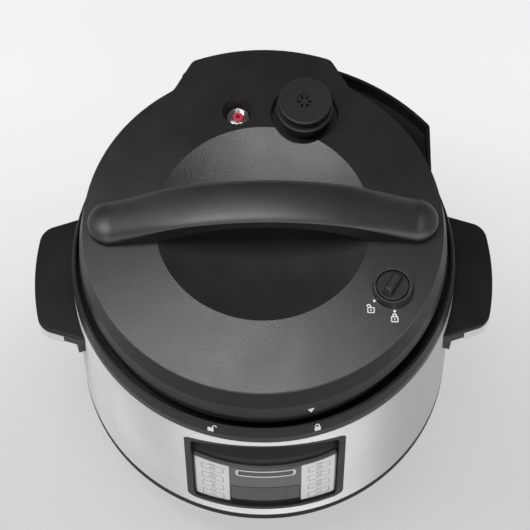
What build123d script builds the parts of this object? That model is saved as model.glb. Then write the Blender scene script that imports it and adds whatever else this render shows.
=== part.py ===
from build123d import *
import os
from math import cos, radians, sin, sqrt

# Electric pressure cooker with a bayonet lid. Millimetres, +Z up, front towards -Y.
# The origin is where the pot's axis meets the surface that the cooker stands on.

os.makedirs("parts", exist_ok=True)

# Driving sizes of the body
body_r = 145.0
base_h = 53.0
sleeve_h = 150.0
collar_h = 18.7
lid_gap = 8.7
skirt_h = 38.3
lid_rise = 6.9
ridge_r = 79.5
dish_depth = 13.0

# Walls and fits
wall = 2.5
sheet = 0.8
seat_fit = 0.05
loose_fit = 0.2
run_fit = 0.06
slip = 0.3
front = -90.0
rear = 90.0

# Base housing, its cover, feet and screws
foot_h = 4.0
foot_r = 11.0
foot_count = 4
foot_ring_r = 86.0
foot_rounding = 1.0
cover_t = 2.5
cover_margin = 6.0
base_taper = 19.0
base_wall = 3.0
band_h = 9.0
band_step = 1.0
flange_w = 24.0
spigot_h = 7.0
spigot_t = 2.6
base_rounding = 5.0
post_r = 5.0
post_count = 3
vent_count = 18
vent_l = 26.0
vent_w = 3.6
vent_ring_r = 44.0
screw_r = 1.8
screw_head_r = 3.5
screw_head_h = 1.8
screw_l = 7.0

# Steel sleeve
hem_w = 2.5
hem_rounding = 1.2

# Collar ring and its rear pocket
collar_draft = 2.0
collar_crease = 8.5
lip_t = 2.4
lip_rounding = 0.8
channel_depth = 13.7
channel_floor_t = 2.5
curb_h = 3.0
curb_t = 2.0
pocket_reach = 23.2
pocket_wall = 2.5
pocket_left = 62.0
pocket_right = 128.7
pocket_rim_rise = 0.5
pocket_corner = 6.0
rail_reach = 10.0
rail_w = 2.0
rail_h = 2.0
drain_r = 2.5
drain_reach = 4.5

# Bayonet
lug_count = 6
lug_span = 26.0
lid_turn = 30.0
lug_t = 4.5
lid_lug_t = 4.0
lug_gap = 0.8
lug_clear = 1.0
lug_overlap = 5.4
lock_wall = 1.8
lock_inset = 7.2
lock_skirt_drop = 6.2

# Pots and heater
liner_t = 2.2
liner_flange_w = 6.4
liner_rise = 2.8
liner_floor_t = 2.0
liner_z = 60.0
pot_side_gap = 4.5
pot_t = 1.2
pot_floor_t = 2.5
pot_rim_w = 8.0
pot_rim_t = 1.5
pot_rounding = 12.0
plate_r = 100.0
plate_t = 8.0
plate_boss_r = 90.0
plate_boss_t = 8.0
plate_rounding = 2.0
sensor_r = 11.5
sensor_well_r = 15.0
sensor_wall = 2.0
sensor_depth = 30.0
sensor_cap_t = 5.0
sensor_stem_r = 4.0
element_ring_r = 60.0
element_r = 4.5
element_sweep = 330.0
terminal_r = 2.5
terminal_l = 12.0
terminal_set = 3.0

# Side handles
grip_reach = 30.0
grip_half_w = 51.5
grip_end_half_w = 39.0
grip_taper_x = 6.0
grip_corner = 15.0
grip_drop = 20.0
grip_top_t = 4.0
grip_band_t = 11.4
grip_rounding = 1.6
grip_wall = 4.0
grip_hollow_h = 9.0
trim_t = 1.5
trim_setback = 7.0
bracket_t = 5.0
bracket_h = 31.0
bracket_span = 38.0
grip_screw_y = 22.0
grip_screw_drop = 24.0
grip_screw_l = 4.5

# Control panel
panel_half_w = 60.5
panel_top_drop = 7.0
panel_crown = 10.5
panel_bottom_rise = 12.0
panel_corner = 7.0
panel_draft = 19.0
panel_rim_t = 1.5
panel_sill_t = 4.0
scoop_depth = 13.0
scoop_drop = 24.4
scoop_run = 16.0
scoop_rounding = 6.0
plate_seat_depth = 5.9
plate_front_depth = 3.0
plate_top_drop = 61.5
plate_sag = 6.0
plate_half_w = 54.3
plate_corner = 2.0
plate_margin = 1.2
overlay_t = 0.3
center_half_w = 27.2
keypad_gap = 0.4
window_half_w = 25.6
window_h = 26.0
window_t = 0.5
window_low = 8.0
window_ledge = 1.5
board_half_w = 40.0
board_h = 70.0
board_t = 1.6
board_gap = 1.5
module_half_w = 18.0

# Power board and inlet
power_board_w = 84.0
power_board_d = 50.0
power_board_y = -65.0
power_board_lift = 12.0
standoff_r = 3.0
standoff_inset = 5.0
relay_size = (19.0, 16.0, 15.0)
coil_size = (24.0, 20.0, 17.0)
capacitor_r = 6.0
capacitor_h = 18.0
capacitor_pitch = 15.0
inlet_half_w = 16.0
inlet_half_h = 11.0
inlet_z = 27.0
inlet_depth = 26.0
socket_half_w = 12.0
socket_half_h = 7.5
socket_depth = 18.0
blade_w = 2.0
blade_h = 4.0
blade_l = 12.5
blade_pitch = 7.0

# Lid shell
lid_edge_inset = 11.7
skirt_inset = 7.1
shoulder_rise = 17.0
shoulder_inset = 8.2
skirt_rounding = 4.0
skirt_foot_rounding = 2.2
skirt_groove = 0.8
rebate_w = 2.6
rebate_h = 1.2
ridge_rounding = 40.0
tab_reach = 6.2
tab_half_angle = 20.3
tab_root_angle = 30.0
tab_corner = 8.0
tab_fillet = 10.0
tongue_half_angle = 14.0
tongue_t = 5.0
tongue_gap = 0.5
peg_r = 3.0
peg_l = 4.0
boss_ring_r = 70.0
boss_r = 4.5
boss_count = 4

# Interlock shuttle
shuttle_half_angle = 9.0
shuttle_in = 1.5
shuttle_out = 15.0
shuttle_h = 5.2
magnet_r = 3.0
magnet_h = 3.0
reed_size = (20.0, 6.0, 5.0)
reed_inset = 11.0

# Inner lid, seal and rack
inner_lid_t = 2.0
inner_lid_rise = 14.0
inner_dome_rise = 6.0
inner_dome_r = 84.0
inner_dome_slope = 6.0
seal_lip_w = 9.0
seal_web_t = 6.0
seal_inset = 0.4
seal_lip_t = 3.2
rack_inset = 3.5
rack_r = 2.6

# Lid handle
handle_half_l = 129.0
handle_half_w = 17.0
handle_under_rise = 31.0
handle_foot_x = 78.0
handle_lip = 0.7
handle_stations = ((0.0, 40.3, 12.0), (40.0, 36.4, 12.0), (72.0, 27.2, 11.5), (96.0, 14.6, 10.5))
handle_end_rise = 7.4
handle_end_crown = 9.5
handle_waist = 0.9
crown_wrap = 25.0
handle_screw_x = 100.0
handle_screw_l = 9.0
handle_screw_r = 2.2
handle_screw_head_r = 4.5

# Steam release
steam_x, steam_y = 31.8, 91.5
well_r = 25.5
well_depth = 11.4
guide_r = 9.0
guide_t = 1.6
guide_h = 17.0
guide_flange_r = 14.0
guide_flange_t = 2.5
pipe_r = 4.5
pipe_bore_r = 1.8
pipe_rise = 8.0
pipe_drop = 6.0
weight_h = 11.0
weight_lift = 3.0
cap_r = 19.5
cap_flange_r = 21.2
cap_neck_r = 14.5
cap_skirt_r = 16.5
cap_bottom = 4.0
cap_flange_z = 19.0
cap_flange_t = 3.2
cap_play = 1.5
cap_top_z = 32.0
cap_disc_t = 3.6
cap_rounding = 1.2
cap_dimple_r = 6.2
cap_dimple_depth = 1.4
cap_slot_w = 1.3
cap_slot_l = 2.8
cap_slot_ring_r = 3.9
cap_slot_count = 6
shield_r = 6.5
shield_h = 9.5
shield_t = 1.0
shield_hole_r = 1.2
shield_hole_count = 8
shield_hole_ring_r = 3.3

# Float valve
float_x, float_y = -18.2, 94.5
float_well_r = 12.0
float_floor_r = 8.6
float_depth = 11.4
float_floor_t = 2.0
float_r = 4.0
float_bore_r = 1.5
float_bore_depth = 5.0
float_top = 2.5
float_lift = 6.0
bush_r = 7.0
bush_flange_r = 8.0
bush_flange_t = 1.2
bush_l = 6.0
bush_rim_r = 6.6
bush_rim_t = 1.0
bush_rim_h = 4.4
shoulder_r = 5.6
shoulder_t = 2.2
float_seal_r = 7.0
float_seal_t = 2.7
float_head_r = 5.2
float_head_t = 2.0

# Latch knob
latch_x, latch_y = 93.8, -53.5
latch_turn = 45.0
latch_ring_r = 14.1
latch_base_r = 16.0
latch_ring_h = 6.4
latch_bore_r = 12.6
latch_bore_h = 5.0
knob_r = 12.35
knob_t = 4.0
grip_bar_w = 5.4
grip_bar_h = 4.0
grip_bar_rounding = 1.2
groove_w = 0.5
groove_depth = 0.5
groove_pitch = 1.2
groove_count = 4
spindle_r = 3.0
spindle_l = 24.0
spindle_boss_r = 6.0
spindle_boss_l = 8.0
tongue_l = 16.0
tongue_w = 9.0
tongue_plate_t = 4.0

# Condensation cup
cup_half_w = 24.0
cup_flange_w = 4.0
cup_flange_t = 3.0
cup_h = 42.0
cup_wall = 1.8
cup_back_gap = 2.0
cup_corner = 8.0
cup_rounding = 3.0
runner_t = 2.0
runner_lip = 3.6

# Heights worked out from the driving sizes
base_z = foot_h + cover_t
band_z = base_h - band_h
sleeve_z = base_h + sleeve_h
collar_z = sleeve_z + collar_h
skirt_z = collar_z + lid_gap
lid_edge_z = skirt_z + skirt_h
ridge_z = lid_edge_z + lid_rise
dish_z = ridge_z - dish_depth
channel_z = collar_z - channel_depth
channel_under_z = channel_z - channel_floor_t
liner_rim_z = collar_z + liner_rise
lug_under_z = liner_rim_z - lug_t
lid_lug_z = lug_under_z - lug_gap
plate_z = liner_z + liner_floor_t
pot_z = plate_z + plate_t
pot_rim_z = liner_rim_z + pot_rim_t
inner_lid_z = liner_rim_z + inner_lid_rise
inner_lid_top = inner_lid_z + inner_lid_t
inner_dome_top = inner_lid_top + inner_dome_rise
panel_top = sleeve_z - panel_top_drop
panel_bottom = base_h + panel_bottom_rise
plate_top = sleeve_z - plate_top_drop
plate_bottom = panel_bottom + panel_sill_t + plate_margin
grip_z = sleeve_z - grip_drop

# Radii worked out from the driving sizes
base_r = body_r - base_taper
cover_r = base_r - cover_margin
flange_r = base_r - flange_w
spigot_r = body_r - sheet - seat_fit
collar_spigot_r = body_r - hem_w - seat_fit
collar_top_r = body_r - collar_draft
channel_r = collar_top_r - lip_t
lock_r = channel_r - lock_inset
lock_in_r = lock_r - lock_wall
liner_lug_r = lock_in_r - lug_clear
lid_lug_r = liner_lug_r - lug_overlap
liner_flange_r = lid_lug_r - lug_gap
liner_r = liner_flange_r - liner_flange_w
liner_out_r = liner_r + liner_t
collar_hole_r = liner_out_r + loose_fit
pot_r = liner_r - pot_side_gap
pocket_r = body_r + pocket_reach
rail_r = body_r + rail_reach
drain_ring_r = body_r + drain_reach
grip_r = body_r + grip_reach
trim_start = body_r + trim_setback
scoop_r = body_r - scoop_depth
plate_seat_r = body_r - plate_seat_depth
plate_front_r = body_r - plate_front_depth
reed_ring_r = body_r - reed_inset
seal_out_r = liner_flange_r - seal_inset
seal_web_r = seal_out_r - seal_web_t
seal_lip_r = seal_web_r - seal_lip_w
rack_ring_r = seal_web_r - rack_inset
lid_edge_r = body_r - lid_edge_inset
skirt_r = body_r - skirt_inset
shoulder_skirt_r = body_r - shoulder_inset
tab_r = body_r + tab_reach
post_ring_r = liner_r - 2 * post_r
screw_ring_r = (flange_r + cover_r) / 2
panel_depth = body_r - sqrt((scoop_r - wall) ** 2 - panel_half_w**2) + wall
dish_r = (ridge_r**2 + dish_depth**2) / (2 * dish_depth)


def section(*corners):
    """A closed radius-and-height outline; a third number in a corner rounds it."""
    roundings = [corner[2] if len(corner) > 2 else 0 for corner in corners]
    with BuildSketch(Plane.XZ) as profile:
        with BuildLine():
            FilletPolyline(*[corner[:2] for corner in corners], radius=roundings, close=True)
        make_face()
    return profile.sketch


def sector(inner, outer, start, sweep, height):
    """An annular sector in plan, drawn at a height."""
    with BuildSketch(Plane.XY.offset(height)) as plan:
        with BuildLine():
            near = CenterArc((0, 0), inner, start, sweep)
            far = CenterArc((0, 0), outer, start, sweep)
            Line(near @ 0, far @ 0)
            Line(near @ 1, far @ 1)
        make_face()
    return plan.sketch


def on_circle(radius, angle):
    """Plan coordinates of a point on a circle about the axis."""
    return radius * cos(radians(angle)), radius * sin(radians(angle))


def cone_z(radius):
    """Height of the lid's outer slope at a radius."""
    return lid_edge_z + lid_rise * (lid_edge_r - radius) / (lid_edge_r - ridge_r)


def taper_r(height):
    """Outer radius of the base housing's taper at a height."""
    share = (height - base_z) / (band_z - base_z)
    return base_r + (body_r - band_step - base_r) * share


def arched(half_w, low, high, corner, crown):
    """A rounded upright outline ahead of the body, whose top edge rises by a crown."""
    with BuildSketch(Plane.XZ.offset(body_r + wall)) as outline:
        with BuildLine():
            top = ThreePointArc((-half_w, high - crown), (0, high), (half_w, high - crown))
            Polyline(top @ 0, (-half_w, low), (half_w, low), top @ 1)
        make_face()
        fillet(outline.vertices(), corner)
    return outline.sketch


def arched_prism(half_w, low, high, corner, crown):
    """An upright prism of an arched outline through the body's front wall."""
    with BuildPart() as prism:
        extrude(arched(half_w, low, high, corner, crown), amount=-(panel_depth + wall))
    return prism.part


def front_prism(half_w, low, high, corner, center_x=0.0):
    """A rounded upright prism through the body's front wall."""
    with BuildPart() as prism:
        with BuildSketch(Plane.XZ.offset(body_r + wall)):
            with Locations((center_x, (low + high) / 2)):
                RectangleRounded(2 * half_w, high - low, corner)
        extrude(amount=-(panel_depth + wall))
    return prism.part


def curved_plate(inner, outer, prism):
    """A plate bent around the body's axis and trimmed by a prism."""
    with BuildPart() as plate:
        revolve(
            section((inner, base_h), (outer, base_h), (outer, sleeve_z), (inner, sleeve_z)),
            axis=Axis.Z,
        )
        add(prism, mode=Mode.INTERSECT)
    return plate.part


def finish(name, builder):
    """Label a piece and write it to its own file."""
    builder.part.label = name
    export_step(builder.part, f"parts/{name}.step")


# Base housing: tapered bowl with a locating spigot for the sleeve and posts for the liner
with BuildPart() as base_housing:
    revolve(
        section(
            (spigot_r, base_h + spigot_h),
            (spigot_r, base_h),
            (body_r, base_h),
            (body_r, band_z),
            (body_r - band_step, band_z),
            (base_r, base_z, base_rounding),
            (flange_r, base_z),
            (flange_r, base_z + base_wall),
            (base_r - base_wall, base_z + base_wall),
            (body_r - band_step - base_wall, band_z),
            (spigot_r - spigot_t, base_h),
            (spigot_r - spigot_t, base_h + spigot_h),
        ),
        axis=Axis.Z,
    )
    with BuildSketch(Plane.XY.offset(base_z + base_wall)):
        with PolarLocations(post_ring_r, post_count, start_angle=rear):
            Circle(post_r)
    extrude(amount=liner_z - base_z - base_wall)
    with BuildSketch(Plane.XY.offset(base_z)):
        with PolarLocations(screw_ring_r, foot_count, start_angle=180 / foot_count):
            Circle(screw_r + seat_fit)
    extrude(amount=base_wall, mode=Mode.SUBTRACT)
    with BuildSketch(Plane.XZ.offset(-body_r)):
        with Locations((0, inlet_z)):
            Rectangle(2 * (inlet_half_w + seat_fit), 2 * (inlet_half_h + seat_fit))
    extrude(amount=base_taper + 2 * base_wall, mode=Mode.SUBTRACT)
finish("base_housing", base_housing)

# Bottom cover: vented disc that carries the feet and the power board
with BuildPart() as bottom_cover:
    with BuildSketch(Plane.XY.offset(foot_h)):
        Circle(cover_r)
        with PolarLocations(screw_ring_r, foot_count, start_angle=180 / foot_count):
            Circle(screw_r + seat_fit, mode=Mode.SUBTRACT)
        with PolarLocations(vent_ring_r, vent_count):
            SlotOverall(vent_l, vent_w, mode=Mode.SUBTRACT)
    extrude(amount=cover_t)
    with BuildSketch(Plane.XY.offset(base_z)):
        with Locations((0, power_board_y)):
            with GridLocations(
                power_board_w - 2 * standoff_inset, power_board_d - 2 * standoff_inset, 2, 2
            ):
                Circle(standoff_r)
    extrude(amount=power_board_lift)
finish("bottom_cover", bottom_cover)

# Four rubber feet
with BuildPart() as rubber_feet:
    with BuildSketch():
        with PolarLocations(foot_ring_r, foot_count, start_angle=180 / foot_count):
            Circle(foot_r)
    extrude(amount=foot_h)
    fillet(rubber_feet.edges().group_by(Axis.Z)[0], foot_rounding)
finish("rubber_feet", rubber_feet)

# Bottom screws
with BuildPart() as bottom_screws:
    with BuildSketch(Plane.XY.offset(foot_h - screw_head_h)):
        with PolarLocations(screw_ring_r, foot_count, start_angle=180 / foot_count):
            Circle(screw_head_r)
    extrude(amount=screw_head_h)
    with BuildSketch(Plane.XY.offset(foot_h)):
        with PolarLocations(screw_ring_r, foot_count, start_angle=180 / foot_count):
            Circle(screw_r)
    extrude(amount=screw_l)
finish("bottom_screws", bottom_screws)

# Panel opening in the sleeve, shared by the sleeve and the bezel
sleeve_opening = arched_prism(
    panel_half_w + seat_fit,
    panel_bottom - seat_fit,
    panel_top + seat_fit,
    panel_corner + seat_fit,
    panel_crown,
)

# Steel sleeve with a hemmed top edge
with BuildPart() as steel_sleeve:
    revolve(
        section(
            (body_r, base_h),
            (body_r, sleeve_z, hem_rounding),
            (body_r - hem_w, sleeve_z),
            (body_r - hem_w, sleeve_z - sheet),
            (body_r - sheet, sleeve_z - sheet),
            (body_r - sheet, base_h),
        ),
        axis=Axis.Z,
    )
    add(sleeve_opening, mode=Mode.SUBTRACT)
    for side in (-1, 1):
        with BuildSketch(Plane.YZ):
            with Locations(
                (-grip_screw_y, grip_z - grip_screw_drop), (grip_screw_y, grip_z - grip_screw_drop)
            ):
                Circle(screw_r + seat_fit)
        extrude(amount=side * (body_r + wall), mode=Mode.SUBTRACT)
finish("steel_sleeve", steel_sleeve)


def pocket_plan(inset, height):
    """Plan of the rear pocket: a strip of a large circle, inset for its inner wall."""
    with BuildSketch(Plane.XY.offset(height)) as plan:
        Circle(pocket_r - inset)
        left, right = inset - pocket_left, pocket_right - inset
        with Locations(((left + right) / 2, pocket_r / 2)):
            Rectangle(right - left, pocket_r, mode=Mode.INTERSECT)
        fillet([v for v in plan.vertices() if v.Y > pocket_r / 4], pocket_corner)
        Circle(channel_r, mode=Mode.SUBTRACT)
    return plan.sketch


# Collar ring: drip channel, rear pocket for the lid's tongue and runners for the cup
with BuildPart() as top_collar:
    revolve(
        section(
            (body_r, sleeve_z),
            (body_r, sleeve_z + collar_crease),
            (collar_top_r, collar_z, lip_rounding),
            (channel_r, collar_z, lip_rounding),
            (channel_r, channel_z),
            (collar_hole_r + curb_t, channel_z),
            (collar_hole_r + curb_t, channel_z + curb_h),
            (collar_hole_r, channel_z + curb_h),
            (collar_hole_r, channel_under_z),
            (collar_spigot_r - spigot_t, channel_under_z),
            (collar_spigot_r - spigot_t, sleeve_z - spigot_h),
            (collar_spigot_r, sleeve_z - spigot_h),
            (collar_spigot_r, sleeve_z),
        ),
        axis=Axis.Z,
    )
    extrude(pocket_plan(0, channel_under_z), amount=collar_z + pocket_rim_rise - channel_under_z)
    extrude(pocket_plan(pocket_wall, channel_z), amount=channel_depth + wall, mode=Mode.SUBTRACT)
    extrude(
        sector(
            rail_r - rail_w / 2,
            rail_r + rail_w / 2,
            rear - lid_turn - 2 * shuttle_half_angle,
            lid_turn + 3 * shuttle_half_angle,
            channel_z,
        ),
        amount=rail_h,
    )
    with BuildSketch(Plane.XY.offset(channel_under_z)):
        with Locations((0, drain_ring_r)):
            Circle(drain_r)
    extrude(amount=channel_floor_t, mode=Mode.SUBTRACT)
    runner_x = cup_half_w + cup_flange_w + slip
    runner_z = channel_under_z - cup_flange_t - 2 * slip
    runner_y = body_r + cup_back_gap
    runner_l = pocket_r - pocket_wall - runner_y
    for side in (-1, 1):
        with BuildSketch(Plane.XZ.offset(-runner_y)):
            with BuildLine():
                Polyline(
                    (side * runner_x, channel_under_z),
                    (side * runner_x, runner_z),
                    (side * (runner_x - runner_lip), runner_z),
                    (side * (runner_x - runner_lip), runner_z - runner_t),
                    (side * (runner_x + runner_t), runner_z - runner_t),
                    (side * (runner_x + runner_t), channel_under_z),
                    close=True,
                )
            make_face()
        extrude(amount=-runner_l)
finish("top_collar", top_collar)

# Liner: the pressure-bearing outer pot with outward bayonet lugs
with BuildPart() as outer_pot:
    revolve(
        section(
            (plate_boss_r + slip, liner_z),
            (liner_out_r, liner_z, pot_rounding),
            (liner_out_r, lug_under_z),
            (liner_flange_r, lug_under_z),
            (liner_flange_r, liner_rim_z),
            (liner_r, liner_rim_z),
            (liner_r, plate_z, pot_rounding - liner_t),
            (plate_boss_r + slip, plate_z),
        ),
        axis=Axis.Z,
    )
    for lug in range(lug_count):
        extrude(
            sector(
                liner_flange_r - liner_t,
                liner_lug_r,
                lug * 360 / lug_count - lug_span / 2,
                lug_span,
                lug_under_z,
            ),
            amount=lug_t,
        )
finish("outer_pot", outer_pot)

# Heating plate: cast disc with a sensor well and a groove for the element
with BuildPart() as heating_plate:
    revolve(
        section(
            (sensor_well_r, pot_z),
            (plate_r, pot_z, plate_rounding),
            (plate_r, plate_z),
            (plate_boss_r, plate_z),
            (plate_boss_r, plate_z - plate_boss_t, plate_rounding),
            (sensor_well_r, plate_z - plate_boss_t),
        ),
        axis=Axis.Z,
    )
    with BuildSketch(Plane.XZ):
        with Locations((element_ring_r, plate_z - plate_boss_t)):
            Circle(element_r + seat_fit)
    revolve(axis=Axis.Z, mode=Mode.SUBTRACT)
finish("heating_plate", heating_plate)

# Tubular element in the plate's groove, with its two terminals
with BuildPart() as heating_element:
    with BuildSketch(Plane.XZ.rotated((0, 0, rear + (360 - element_sweep) / 2))):
        with Locations((element_ring_r, plate_z - plate_boss_t)):
            Circle(element_r)
    revolve(axis=Axis.Z, revolution_arc=element_sweep)
    for step in (-1, 1):
        end = rear + step * (180 - element_sweep / 2 + terminal_set)
        with BuildSketch(Plane.XY.offset(plate_z - plate_boss_t - element_r / 2)):
            with Locations(on_circle(element_ring_r, end)):
                Circle(terminal_r)
        extrude(amount=-terminal_l)
finish("heating_element", heating_element)

# Sensor cup under the plate, and the cap that touches the pot
sensor_cup_r = sensor_well_r - loose_fit
sensor_bottom = pot_z - sensor_depth
with BuildPart() as sensor_cup:
    revolve(
        section(
            (sensor_stem_r + run_fit, sensor_bottom),
            (sensor_cup_r, sensor_bottom),
            (sensor_cup_r, pot_z - 2 * sensor_wall),
            (sensor_cup_r - sensor_wall, pot_z - 2 * sensor_wall),
            (sensor_cup_r - sensor_wall, sensor_bottom + sensor_wall),
            (sensor_stem_r + run_fit, sensor_bottom + sensor_wall),
        ),
        axis=Axis.Z,
    )
finish("sensor_cup", sensor_cup)

with BuildPart() as sensor_cap:
    revolve(
        section(
            (0, sensor_bottom - sensor_wall),
            (sensor_stem_r, sensor_bottom - sensor_wall),
            (sensor_stem_r, pot_z - sensor_cap_t),
            (sensor_r, pot_z - sensor_cap_t),
            (sensor_r, pot_z, plate_rounding),
            (0, pot_z),
        ),
        axis=Axis.Z,
    )
finish("sensor_cap", sensor_cap)

# Removable inner pot
with BuildPart() as inner_pot:
    revolve(
        section(
            (0, pot_z),
            (pot_r, pot_z, pot_rounding),
            (pot_r, liner_rim_z),
            (pot_r + pot_rim_w, liner_rim_z),
            (pot_r + pot_rim_w, pot_rim_z, pot_rim_t / 3),
            (pot_r - pot_t, pot_rim_z, pot_rim_t / 3),
            (pot_r - pot_t, pot_z + pot_floor_t, pot_rounding - pot_t),
            (0, pot_z + pot_floor_t),
        ),
        axis=Axis.Z,
    )
finish("inner_pot", inner_pot)


def grip_plan(inset, height):
    """Plan of the right-hand side grip: a tapered tongue with a concentric outer edge."""
    with BuildSketch(Plane.XY.offset(height)) as plan:
        with BuildLine():
            Polyline(
                (body_r / 2, grip_half_w - inset),
                (body_r - grip_taper_x, grip_half_w - inset),
                (grip_r + wall, grip_end_half_w - inset),
                (grip_r + wall, inset - grip_end_half_w),
                (body_r - grip_taper_x, inset - grip_half_w),
                (body_r / 2, inset - grip_half_w),
                close=True,
            )
        make_face()
        Circle(grip_r - inset, mode=Mode.INTERSECT)
        fillet([v for v in plan.vertices() if v.X > body_r], grip_corner - inset)
    return plan.sketch


# Side grip: top plate over an inset core, hollow below for the fingers, on a curved bracket
grip_band_z = grip_z - grip_top_t
grip_under_z = grip_band_z - grip_band_t
with BuildPart() as side_grip:
    extrude(grip_plan(0, grip_band_z), amount=grip_top_t)
    fillet(
        side_grip.faces().sort_by(Axis.Z)[-1].edges().filter_by(lambda e: e.center().X > body_r),
        grip_rounding,
    )
    extrude(grip_plan(trim_t, grip_under_z), amount=grip_band_t)
    with BuildSketch(Plane.XY.offset(grip_under_z)):
        add(grip_plan(trim_t + grip_wall, grip_under_z))
        Circle(body_r + bracket_t + grip_wall, mode=Mode.SUBTRACT)
    extrude(amount=grip_hollow_h, mode=Mode.SUBTRACT)
    extrude(
        sector(body_r, body_r + bracket_t, -bracket_span / 2, bracket_span, grip_z - bracket_h),
        amount=bracket_h - grip_top_t / 2,
    )
    with BuildSketch(Plane.XY.offset(grip_z - bracket_h)):
        Circle(body_r + seat_fit)
    extrude(amount=bracket_h, mode=Mode.SUBTRACT)
    with BuildSketch(Plane.YZ):
        with Locations(
            (-grip_screw_y, grip_z - grip_screw_drop), (grip_screw_y, grip_z - grip_screw_drop)
        ):
            Circle(screw_r + seat_fit)
    extrude(amount=body_r + grip_screw_l, mode=Mode.SUBTRACT)

with BuildPart() as side_handle_right:
    add(side_grip.part)
finish("side_handle_right", side_handle_right)

with BuildPart() as side_handle_left:
    mirror(side_grip.part, about=Plane.YZ)
finish("side_handle_left", side_handle_left)

# Bright trim band around each grip's core
with BuildPart() as handle_trim_right:
    with BuildSketch(Plane.XY.offset(grip_under_z)):
        add(grip_plan(0, grip_under_z))
        add(grip_plan(trim_t - seat_fit, grip_under_z), mode=Mode.SUBTRACT)
        with Locations((trim_start / 2, 0)):
            Rectangle(trim_start, 4 * grip_half_w, mode=Mode.SUBTRACT)
    extrude(amount=grip_band_t - seat_fit)
finish("handle_trim_right", handle_trim_right)

with BuildPart() as handle_trim_left:
    mirror(handle_trim_right.part, about=Plane.YZ)
finish("handle_trim_left", handle_trim_left)

# Screws that hold the side handles from inside the sleeve
screw_face_x = sqrt((body_r - sheet) ** 2 - (grip_screw_y + screw_head_r) ** 2)
with BuildPart() as side_handle_screws:
    for side in (-1, 1):
        with BuildSketch(Plane.YZ.offset(side * (screw_face_x - screw_head_h))):
            with Locations(
                (-grip_screw_y, grip_z - grip_screw_drop), (grip_screw_y, grip_z - grip_screw_drop)
            ):
                Circle(screw_head_r)
        extrude(amount=side * screw_head_h)
        with BuildSketch(Plane.YZ.offset(side * screw_face_x)):
            with Locations(
                (-grip_screw_y, grip_z - grip_screw_drop), (grip_screw_y, grip_z - grip_screw_drop)
            ):
                Circle(screw_r)
        extrude(amount=side * grip_screw_l)
finish("side_handle_screws", side_handle_screws)

# Panel bezel: rails flush with the sleeve, and a scooped wall bent around the body's axis
recess_top = panel_top - panel_rim_t
recess_bottom = panel_bottom + panel_sill_t
scoop_top_z = recess_top - scoop_drop
scoop_low_z = scoop_top_z - scoop_run
bezel_prism = arched_prism(panel_half_w, panel_bottom, panel_top, panel_corner, panel_crown)
window_z = plate_bottom + window_low
window_hole = front_prism(
    window_half_w - window_ledge,
    window_z + window_ledge,
    window_z + window_h - window_ledge,
    plate_corner,
)
board_y = sqrt((plate_seat_r - wall) ** 2 - board_half_w**2) - board_gap
board_z = plate_bottom + board_h / 2
standoff_x = board_half_w - standoff_inset

with BuildPart() as panel_back:
    revolve(
        section(
            (scoop_r - 2 * wall, panel_bottom),
            (plate_seat_r, panel_bottom),
            (plate_seat_r, scoop_low_z, scoop_rounding),
            (scoop_r, scoop_top_z, scoop_rounding),
            (scoop_r, panel_top),
            (scoop_r - 2 * wall, panel_top),
        ),
        axis=Axis.Z,
    )

with BuildPart() as panel_recess:
    extrude(
        arched(panel_half_w, recess_bottom, recess_top, panel_corner, panel_crown),
        amount=-(panel_depth + wall),
        taper=panel_draft,
    )
    add(panel_back.part, mode=Mode.SUBTRACT)

plate_pocket = curved_plate(
    plate_seat_r,
    body_r + wall,
    arched_prism(
        plate_half_w + seat_fit,
        plate_bottom - seat_fit,
        plate_top + seat_fit,
        plate_corner,
        -plate_sag,
    ),
)
with BuildPart() as panel_bezel:
    revolve(
        section(
            (body_r, panel_top),
            (body_r, panel_bottom),
            (plate_seat_r - wall, panel_bottom),
            (plate_seat_r - wall, scoop_low_z - wall / 2),
            (scoop_r - wall, scoop_top_z - wall / 2),
            (scoop_r - wall, panel_top),
        ),
        axis=Axis.Z,
    )
    add(bezel_prism, mode=Mode.INTERSECT)
    add(panel_recess.part, mode=Mode.SUBTRACT)
    add(plate_pocket, mode=Mode.SUBTRACT)
    with BuildSketch(Plane.XZ.offset(board_y)):
        with Locations((0, board_z)):
            with GridLocations(2 * standoff_x, board_h - 2 * standoff_inset, 2, 2):
                Circle(standoff_r)
    extrude(amount=sqrt((plate_seat_r - wall / 2) ** 2 - standoff_x**2) - board_y)
    add(window_hole, mode=Mode.SUBTRACT)
finish("panel_bezel", panel_bezel)

# Panel plate and the films on it
with BuildPart() as panel_plate:
    add(
        curved_plate(
            plate_seat_r + seat_fit,
            plate_front_r,
            arched_prism(plate_half_w, plate_bottom, plate_top, plate_corner, -plate_sag),
        )
    )
    add(window_hole, mode=Mode.SUBTRACT)
finish("panel_plate", panel_plate)

film_r = plate_front_r + seat_fit
film_low = plate_bottom + plate_margin
film_high = plate_top - plate_margin
film_outline = arched_prism(
    plate_half_w - plate_margin, film_low, film_high, plate_margin, -plate_sag
)
keypad_in = center_half_w + keypad_gap
keypad_out = plate_half_w - plate_margin
keypad_half_w = (keypad_out - keypad_in) / 2
keypad_x = (keypad_out + keypad_in) / 2
keypad_prisms = [
    front_prism(keypad_half_w, film_low, film_high + plate_sag, plate_margin, side * keypad_x)
    for side in (-1, 1)
]
with BuildPart() as keypad_left:
    add(curved_plate(film_r, film_r + overlay_t, keypad_prisms[0]))
    add(film_outline, mode=Mode.INTERSECT)
finish("keypad_left", keypad_left)

with BuildPart() as keypad_right:
    add(curved_plate(film_r, film_r + overlay_t, keypad_prisms[1]))
    add(film_outline, mode=Mode.INTERSECT)
finish("keypad_right", keypad_right)

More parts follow.
